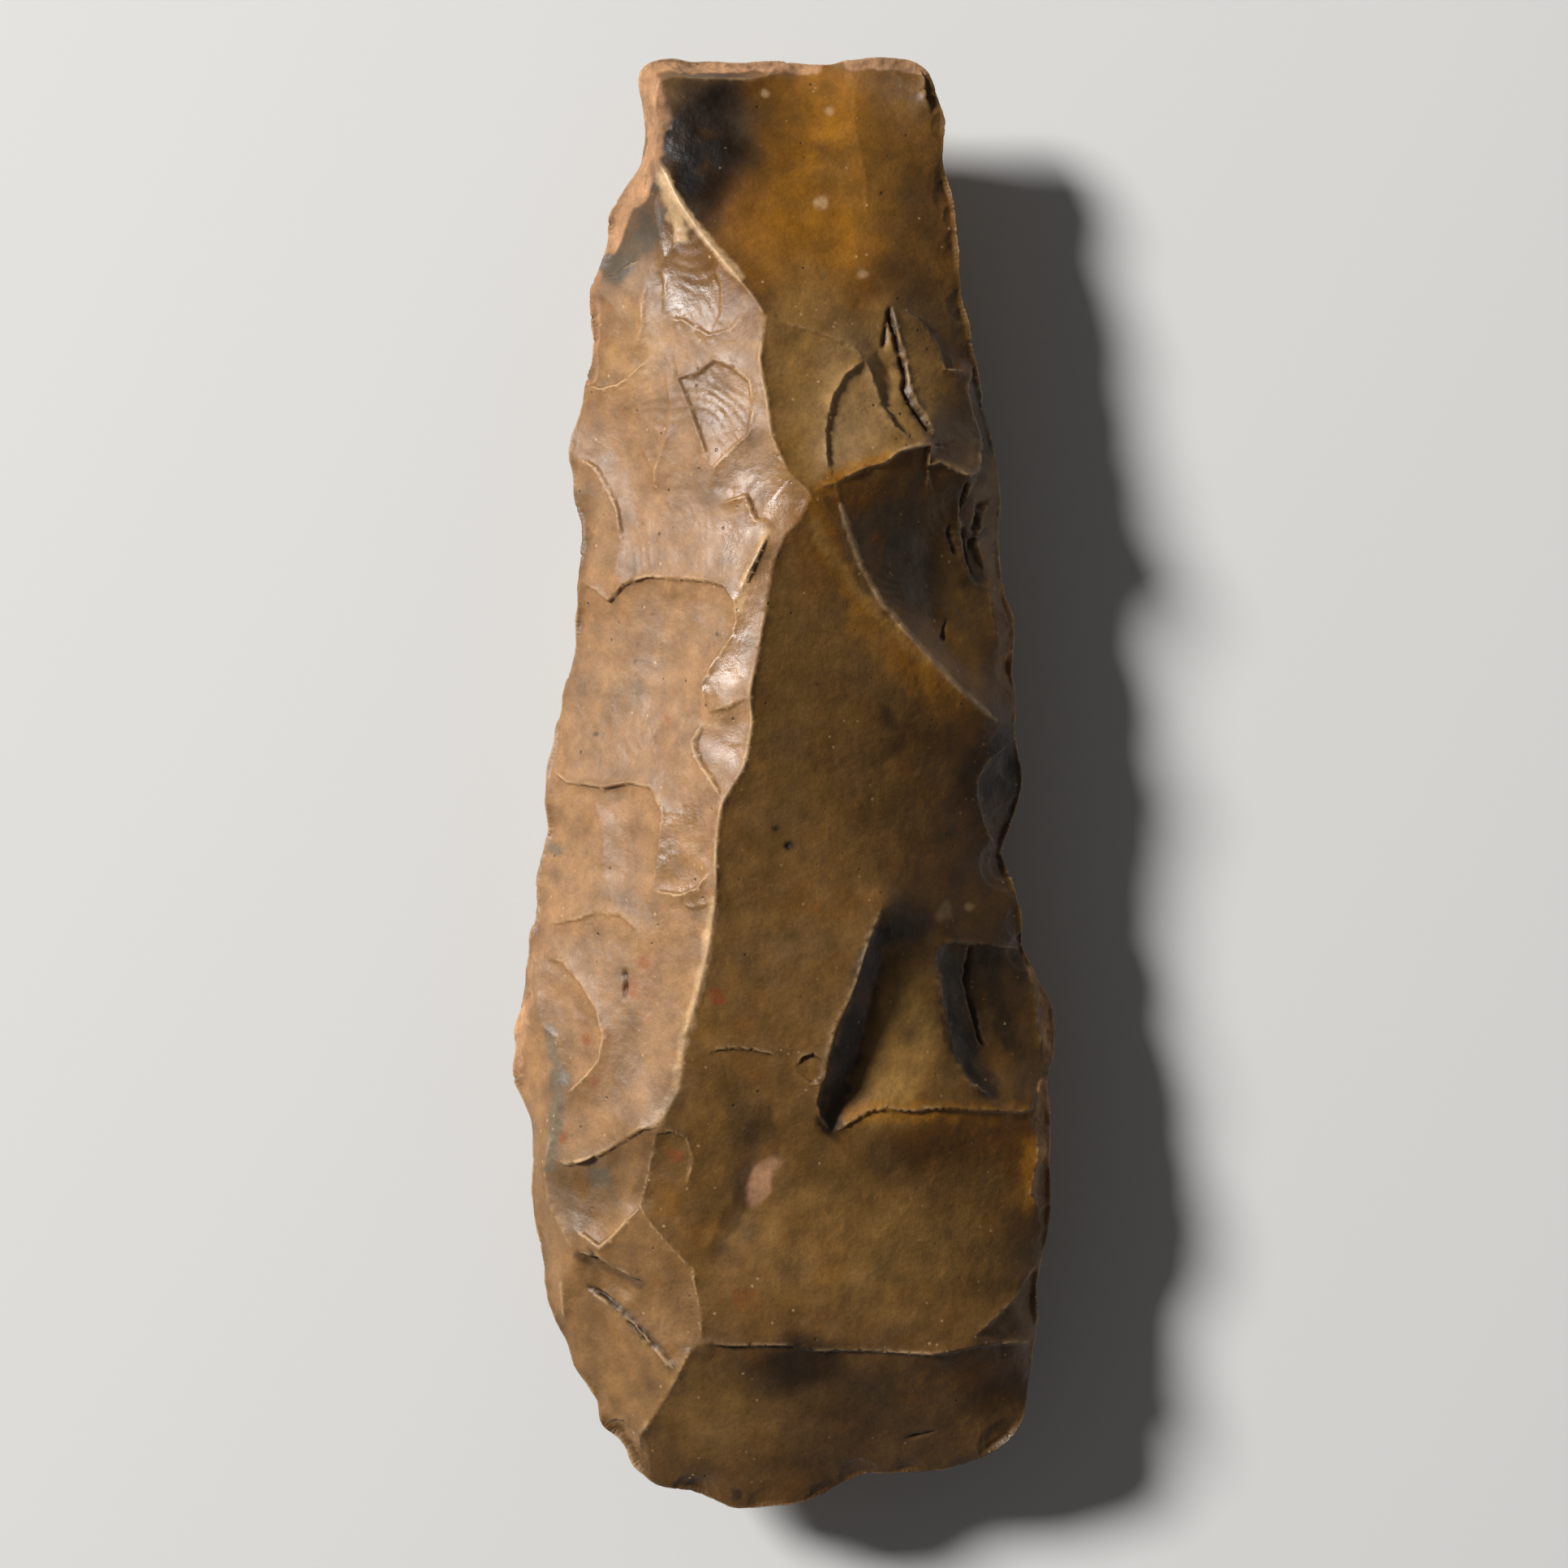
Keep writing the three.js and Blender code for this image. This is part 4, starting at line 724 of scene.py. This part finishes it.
def edge_chips(skin, rim, samples, depth, count, seed):
    """Small scars along the edge line, on both faces."""
    draw = np.random.default_rng(seed)
    lift = np.zeros(len(skin.points))
    for _ in range(count):
        sample = samples[draw.integers(len(samples))]
        radius = draw.uniform(0.8, 3.4)
        face = 1 if draw.random() < 0.55 else -1
        deep = depth * draw.uniform(0.35, 1) * min(1, radius / 2)
        chosen = skin.inside(sample[:2] - radius, sample[:2] + radius, face)
        off = (skin.points[chosen, :2] - sample[:2]) / radius
        hollow = np.clip(1 - (off ** 2).sum(axis=1), 0, 1) ** 0.6
        lift[chosen] -= deep * hollow * ramp(0, 0.9, rim[chosen])
    return lift


def bend_of(points, normals, edges, rounds):
    """How far each point stands out from its neighbours: above 0 on a crest, below in a hollow."""
    count = len(points)
    first, second = edges.T
    step = points[second] - points[first]
    length = np.linalg.norm(step, axis=1) + 1e-9
    for_first = -(step * normals[first]).sum(axis=1) / length
    for_second = (step * normals[second]).sum(axis=1) / length
    total = np.bincount(first, for_first, count) + np.bincount(second, for_second, count)
    number = np.bincount(first, minlength=count) + np.bincount(second, minlength=count)
    bend = total / number
    for _ in range(rounds):
        spread = np.bincount(first, bend[second], count) + np.bincount(second, bend[first], count)
        bend = 0.5 * bend + 0.5 * spread / number
    return bend


def work_the_surface(skin, solid, noise, work):
    """Moves every point of the skin along its normal, and says where the rind and cracks are."""
    points = skin.points
    samples = rim_samples(solid)
    rim = distance_to_rim(skin, samples)
    upper = ramp(-0.1, 0.2, skin.normals[:, 2])
    calm = ramp(0, 1.5, rim)
    cover = rind_cover(skin, noise)
    groove, crack_shade = cracks(skin, noise)
    smooth_butt = ramp(58, 64, points[:, 1]) * ramp(-8, -2, points[:, 0]) * (1 - cover)
    lift = lips(skin, noise, work.lip / MM)
    lift += ripples(skin, noise)
    lift += work.swell / MM * noise.rough(points, 7, 2, 1) * (1 - 0.6 * smooth_butt)
    lift += 0.45 * work.swell / MM * noise.rough(points, 2.6, 2, 5) * (1 - 0.8 * smooth_butt)
    lift += work.grain / MM * noise.rough(points, 0.8, 2, 9)
    lift *= calm
    lift += groove * calm
    lift += cover * work.rind / MM * noise.rough(points, 1.3, 3, 12) * ramp(0, 0.6, rim)
    lift += edge_chips(skin, rim, samples, work.chip / MM, work.chips, work.seed)
    moved = points + skin.normals * lift[:, None]
    outward = skin.normals * (1, 1, 0)
    nibble = work.nibble / MM * (noise.rough(points, 2.4, 3, 15) - 0.6)
    moved += outward * (nibble * ramp(1.6, 0, rim))[:, None]
    moved[:, 2] = np.maximum(moved[:, 2], 0)
    return moved, rim, upper, cover, crack_shade


def side_of(line, points, soft):
    """1 to the left of a line that runs down the face, and 0 to its right."""
    places = np.array(line)[::-1]
    return ramp(soft, -soft, points[:, 0] - np.interp(points[:, 1], places[:, 1], places[:, 0]))


def patch_cover(points, warp, x, y, along, across, turn, soft):
    """1 inside an oval patch with a ragged border, and 0 outside it."""
    turn = math.radians(turn)
    off = points[:, :2] - (x, y) + warp
    right = (off[:, 0] * math.cos(turn) + off[:, 1] * math.sin(turn)) / along
    up = (off[:, 1] * math.cos(turn) - off[:, 0] * math.sin(turn)) / across
    return ramp(1 + soft, 1 - soft, np.hypot(right, up))


def paint(skin, edges, noise, colours, rim, upper, cover, crack_shade):
    """The colour of the flint at every point, with painted shade and painted light worked into it."""
    points, normals = skin.points, skin.normals
    wide = np.stack([noise.rough(points, 8, 3, 20), noise.rough(points, 8, 3, 24)], axis=1)
    fine = np.stack([noise.rough(points, 1.2, 2, 28), noise.rough(points, 1.2, 2, 31)], axis=1)
    tone = {name: np.array(getattr(colours, name)) for name in colours.__annotations__}
    left = side_of(SPINE + INNER_LEFT[1:] + LOWER_LEFT[1:], points, 0.5)
    low = ramp(-38, -46, points[:, 1] + 2 * wide[:, 0])
    left_tone = mixed(tone["tan"], tone["fawn"], low[:, None])
    # The right side's tone is partly the flint's own colour and partly painted shade on the side away
    # from the lamp.
    right_tone_and_shade = mixed(tone["brown"], tone["umber"], ramp(-62, -70, points[:, 1])[:, None])
    colour = mixed(right_tone_and_shade, left_tone, (left * upper)[:, None])
    for name, x, y, along, across, turn, strength, soft in PATCHES:
        share = patch_cover(points, wide * 1.6, x, y, along, across, turn, soft) * strength * upper
        colour = mixed(colour, tone[name], share[:, None])
    for name, half, strength, line in STROKES:
        chosen, gap, _, _ = skin.near(line, half * 2.5)
        stray = gap + 0.5 * half * fine[chosen, 0]
        share = strength * ramp(half * 1.5, half * 0.4, stray)
        colour[chosen] = mixed(colour[chosen], tone[name], share[:, None])
    blotch = noise.rough(points, 5, 4, 35)
    colour = mixed(colour, tone["amber"], (0.4 * ramp(0.2, 1.1, blotch))[:, None])
    colour = mixed(colour, tone["grey"], (0.3 * ramp(0.2, 1.1, -blotch))[:, None])
    clouds = noise.rough(points, 2.4, 4, 41)
    colour = colour * (1 + 0.2 * clouds)[:, None]
    for name, x, y, size, strength in SPOTS:
        share = patch_cover(points, fine * 0.5 * size, x, y, size, size, 0, 0.5) * strength * upper
        colour = mixed(colour, tone[name], share[:, None])
    colour = mixed(colour, tone["dark"], (0.85 * crack_shade)[:, None])
    colour = mixed(colour, tone["skin"] * (1 + 0.3 * clouds)[:, None], (0.9 * cover)[:, None])
    sharp = bend_of(points, normals, edges, 1)
    broad = bend_of(points, normals, edges, 12)
    worn = 0.5 * ramp(0.05, 0.22, sharp) + 0.35 * ramp(0.015, 0.08, broad)
    colour = mixed(colour, tone["pale"], (worn * ramp(-0.6, 0.6, blotch + 0.2))[:, None])
    # Painted shade: hollows and creases are darkened where shade would gather in them.
    hollow = 0.45 * ramp(0.05, 0.22, -sharp) + 0.25 * ramp(0.015, 0.08, -broad)
    colour = mixed(colour, tone["dark"], hollow[:, None])
    thin = ramp(2.2, 0.2, rim)
    colour = colour * (1 - 0.12 * thin)[:, None]
    return np.clip(colour, 0.002, 0.9)


def gloss_of(skin, noise, upper, cover):
    """1 on the glossiest facets, and 0 on the dull patina and on the rind."""
    warp = np.stack([noise.rough(skin.points, 3, 3, 50), noise.rough(skin.points, 3, 3, 53)], axis=1)
    gloss = np.zeros(len(skin.points))
    for x, y, along, across, turn, strength in GLOSSY:
        share = patch_cover(skin.points, warp * 0.6, x, y, along, across, turn, 0.3)
        gloss = np.maximum(gloss, share * strength)
    return gloss * upper * (1 - cover)


def keep_on_mesh(mesh, name, values):
    """Stores a number or a colour for every point of the mesh."""
    if values.ndim == 1:
        layer = mesh.attributes.new(name, "FLOAT", "POINT")
        layer.data.foreach_set("value", values.astype(np.float32))
        return
    layer = mesh.attributes.new(name, "FLOAT_COLOR", "POINT")
    full = np.ones((len(values), 4), np.float32)
    full[:, :3] = values
    layer.data.foreach_set("color", full.ravel())


def lay_flat(mesh):
    """Two islands for the bake, the upper face and the lower one, both seen from above."""
    while mesh.uv_layers:
        mesh.uv_layers.remove(mesh.uv_layers[0])
    layer = mesh.uv_layers.new(name="OFBake")
    corners = np.empty(len(mesh.loops), np.int32)
    mesh.loops.foreach_get("vertex_index", corners)
    normals = np.empty(len(mesh.polygons) * 3, np.float32)
    mesh.polygons.foreach_get("normal", normals)
    sizes = np.empty(len(mesh.polygons), np.int32)
    mesh.polygons.foreach_get("loop_total", sizes)
    is_lower = np.repeat(normals.reshape(-1, 3)[:, 2] < 0, sizes)
    places = read_vectors(mesh, "co")[corners, :2]
    low, high = places.min(axis=0), places.max(axis=0)
    scale = 0.96 / (high[1] - low[1])
    flat = (places - low) * scale + (0.03, 0.02)
    flat[is_lower, 0] += 0.5
    layer.data.foreach_set("uv", flat.astype(np.float32).ravel())


class Recipe:
    """Builds a material's nodes one after another."""

    def __init__(self, name):
        self.material = bpy.data.materials.new(name)
        self.material.use_nodes = True
        self.nodes = self.material.node_tree.nodes
        self.links = self.material.node_tree.links
        self.shader = self.nodes["Principled BSDF"]

    def add(self, kind, **values):
        node = self.nodes.new(kind)
        for name, value in values.items():
            setattr(node, name, value)
        return node

    def join(self, start, end):
        self.links.new(start, end)

    def noise(self, place, scale, detail=4, rough=0.55):
        node = self.add("ShaderNodeTexNoise")
        node.inputs["Scale"].default_value = scale
        node.inputs["Detail"].default_value = detail
        node.inputs["Roughness"].default_value = rough
        self.join(place, node.inputs["Vector"])
        return node.outputs["Fac"]

    def cells(self, place, scale):
        node = self.add("ShaderNodeTexVoronoi")
        node.inputs["Scale"].default_value = scale
        self.join(place, node.inputs["Vector"])
        return node.outputs["Distance"]

    def between(self, value, low, high, first=0.0, last=1.0):
        """Maps low..high to first..last and holds it there."""
        node = self.add("ShaderNodeMapRange")
        node.interpolation_type = "SMOOTHSTEP"
        for name, number in (("From Min", low), ("From Max", high), ("To Min", first), ("To Max", last)):
            node.inputs[name].default_value = number
        self.join(value, node.inputs["Value"])
        return node.outputs["Result"]

    def work_out(self, kind, first, second):
        node = self.add("ShaderNodeMath", operation=kind)
        for socket, value in zip(node.inputs, (first, second)):
            if isinstance(value, (int, float)):
                socket.default_value = value
            else:
                self.join(value, socket)
        return node.outputs[0]

    def blend(self, share, first, second, kind="MIX"):
        node = self.add("ShaderNodeMix", data_type="RGBA", blend_type=kind)
        for socket, value in ((node.inputs[0], share), (node.inputs[6], first), (node.inputs[7], second)):
            if isinstance(value, (int, float)):
                socket.default_value = value
            elif isinstance(value, tuple):
                socket.default_value = value + (1,)
            else:
                self.join(value, socket)
        return node.outputs[2]

    def attribute(self, name):
        return self.add("ShaderNodeAttribute", attribute_name=name)


# Sizes of the fine patterns, as cells or waves to the metre, and the depth of the bump in metres.
CLOUDS = 420
GRAIN = 2600
SPECKS = 620
PINHOLES = 430
DULLNESS = 300
SURFACE = 1500
BUMP_DEPTH = 0.00012
BUMP_STRENGTH = 0.6


def flint_material(colours):
    """Waxy flint with fine mottling, white specks, dark pinholes and a finely uneven surface."""
    make = Recipe("flint_worked")
    place = make.add("ShaderNodeTexCoord").outputs["Object"]
    colour = make.attribute("flint_colour").outputs["Color"]
    rind = make.attribute("flint_rind").outputs["Fac"]
    shine = make.attribute("flint_gloss").outputs["Fac"]
    cloud = make.noise(place, CLOUDS, 6, 0.6)
    fine = make.noise(place, GRAIN, 4, 0.6)
    colour = make.blend(1.0, colour, tone_of(make, make.between(cloud, 0.3, 0.7, 0.86, 1.14)), "MULTIPLY")
    colour = make.blend(1.0, colour, tone_of(make, make.between(fine, 0.3, 0.7, 0.9, 1.1)), "MULTIPLY")
    specks = make.between(make.cells(place, SPECKS), 0.16, 0.06)
    chosen = make.between(make.noise(place, 240, 2), 0.52, 0.62)
    specks = make.work_out("MULTIPLY", specks, chosen)
    colour = make.blend(make.work_out("MULTIPLY", specks, 0.55), colour, tuple(colours.pale))
    holes = make.between(make.cells(place, PINHOLES), 0.12, 0.05)
    chosen_holes = make.between(make.noise(place, 170, 2), 0.5, 0.6)
    holes = make.work_out("MULTIPLY", holes, chosen_holes)
    colour = make.blend(make.work_out("MULTIPLY", holes, 0.75), colour, tuple(colours.dark))
    make.join(colour, make.shader.inputs["Base Color"])
    gloss = make.between(make.noise(place, DULLNESS, 5), 0.3, 0.7, 0.4, 0.56)
    gloss = make.work_out("ADD", gloss, make.work_out("MULTIPLY", rind, 0.35))
    gloss = make.work_out("SUBTRACT", gloss, make.work_out("MULTIPLY", shine, 0.2))
    make.join(gloss, make.shader.inputs["Roughness"])
    make.shader.inputs["Specular IOR Level"].default_value = 0.42
    skin = make.noise(place, SURFACE, 6, 0.65)
    height = make.work_out("ADD", skin, make.work_out("MULTIPLY", holes, -0.8))
    bump = make.add("ShaderNodeBump")
    bump.inputs["Strength"].default_value = BUMP_STRENGTH
    bump.inputs["Distance"].default_value = BUMP_DEPTH
    make.join(height, bump.inputs["Height"])
    make.join(bump.outputs["Normal"], make.shader.inputs["Normal"])
    return make.material


def tone_of(make, value):
    """The same number in all three channels of a colour."""
    node = make.add("ShaderNodeCombineColor")
    for socket in node.inputs:
        make.join(value, socket)
    return node.outputs["Color"]


class FLINT_OT_stone(bpy.types.Operator):
    """Work the knapping into the axe head's solid and colour it"""

    bl_idname = "flint.stone"
    bl_label = "Work the stone"

    def execute(self, context):
        work = context.scene.flint_stone
        colours = context.scene.flint_colours
        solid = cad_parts[NODE]
        levels = work.levels
        piece = dense_copy(solid, levels)
        mesh = piece.data
        noise = Unevenness(work.seed)
        skin = Skin(read_vectors(mesh, "co") / MM, read_vectors(mesh, "normal"))
        moved, rim, upper, cover, crack_shade = work_the_surface(skin, solid, noise, work)
        mesh.vertices.foreach_set("co", (moved * MM).astype(np.float32).ravel())
        mesh.update()
        worked = Skin(moved, read_vectors(mesh, "normal"))
        painted = paint(worked, read_edges(mesh), noise, colours, rim, upper, cover, crack_shade)
        keep_on_mesh(mesh, "flint_colour", painted)
        keep_on_mesh(mesh, "flint_rind", cover)
        keep_on_mesh(mesh, "flint_gloss", gloss_of(worked, noise, upper, cover))
        lay_flat(mesh)
        mesh.materials.clear()
        mesh.materials.append(flint_material(colours))
        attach(piece, BODY)
        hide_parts(NODE)
        return {"FINISHED"}


def look_at(thing, place, target):
    thing.location = place
    thing.rotation_euler = (Vector(target) - Vector(place)).to_track_quat("-Z", "Y").to_euler()


def lay_floor(stage):
    half = stage.floor_size / 2
    mesh = bpy.data.meshes.new("floor")
    mesh.from_pydata([(-half, -half, 0), (half, -half, 0), (half, half, 0), (-half, half, 0)], [],
                     [(0, 1, 2, 3)])
    floor = bpy.data.objects.new("floor", mesh)
    bpy.context.scene.collection.objects.link(floor)
    make = Recipe("floor_paper")
    make.shader.inputs["Base Color"].default_value = tuple(stage.floor_colour) + (1,)
    make.shader.inputs["Roughness"].default_value = 0.9
    make.shader.inputs["Specular IOR Level"].default_value = 0.1
    mesh.materials.append(make.material)


def hang_key_lamp(stage, target):
    """One soft lamp on the left, low enough to rake over the scars."""
    lamp = bpy.data.lights.new("key_lamp", "AREA")
    lamp.shape = "DISK"
    lamp.size = stage.key_size
    lamp.energy = stage.key_power
    holder = bpy.data.objects.new("key_lamp", lamp)
    bpy.context.scene.collection.objects.link(holder)
    flat = stage.key_distance * math.cos(stage.key_height)
    place = (
        -flat * math.cos(stage.key_turn),
        flat * math.sin(stage.key_turn),
        stage.key_distance * math.sin(stage.key_height),
    )
    look_at(holder, place, target)


def set_ambient(stage):
    world = bpy.data.worlds.new("studio")
    bpy.context.scene.world = world
    world.use_nodes = True
    background = world.node_tree.nodes["Background"]
    background.inputs["Color"].default_value = (1, 1, 1, 1)
    background.inputs["Strength"].default_value = stage.ambient


def set_camera(stage):
    camera = bpy.data.cameras.new("camera")
    camera.lens = stage.lens
    camera.clip_start = 0.01
    holder = bpy.data.objects.new("camera", camera)
    bpy.context.scene.collection.objects.link(holder)
    holder.location = (0, 0, stage.camera_height)
    bpy.context.scene.camera = holder


class FLINT_OT_stage(bpy.types.Operator):
    """Lay the floor, hang the lamp and set the camera above the stone"""

    bl_idname = "flint.stage"
    bl_label = "Set the stage"

    def execute(self, context):
        stage = context.scene.flint_stage
        middle = (Vector(CAD_BOX[0]) + Vector(CAD_BOX[1])) / 2
        lay_floor(stage)
        hang_key_lamp(stage, middle)
        set_ambient(stage)
        set_camera(stage)
        context.scene.view_settings.view_transform = "Standard"
        return {"FINISHED"}


class FLINT_PT_panel(bpy.types.Panel):
    """Sizes, colours and steps of the flint axe head"""

    bl_idname = "FLINT_PT_panel"
    bl_label = "Flint axe"
    bl_space_type = "VIEW_3D"
    bl_region_type = "UI"
    bl_category = "Flint axe"

    def draw(self, context):
        for step, settings in (
            (FLINT_OT_stone, context.scene.flint_stone),
            (None, context.scene.flint_colours),
            (FLINT_OT_stage, context.scene.flint_stage),
        ):
            box = self.layout.box()
            for name in settings.__annotations__:
                box.prop(settings, name)
            if step:
                box.operator(step.bl_idname)


CLASSES = (
    FlintStoneSettings, FlintColourSettings, PhotoStageSettings, FLINT_OT_stone, FLINT_OT_stage,
    FLINT_PT_panel,
)


def register():
    for each in CLASSES:
        bpy.utils.register_class(each)
    bpy.types.Scene.flint_stone = bpy.props.PointerProperty(type=FlintStoneSettings)
    bpy.types.Scene.flint_colours = bpy.props.PointerProperty(type=FlintColourSettings)
    bpy.types.Scene.flint_stage = bpy.props.PointerProperty(type=PhotoStageSettings)


def unregister():
    del bpy.types.Scene.flint_stage
    del bpy.types.Scene.flint_colours
    del bpy.types.Scene.flint_stone
    for each in reversed(CLASSES):
        bpy.utils.unregister_class(each)


def main():
    register()
    bpy.ops.flint.stone()
    bpy.ops.flint.stage()


if __name__ == "__main__":
    main()
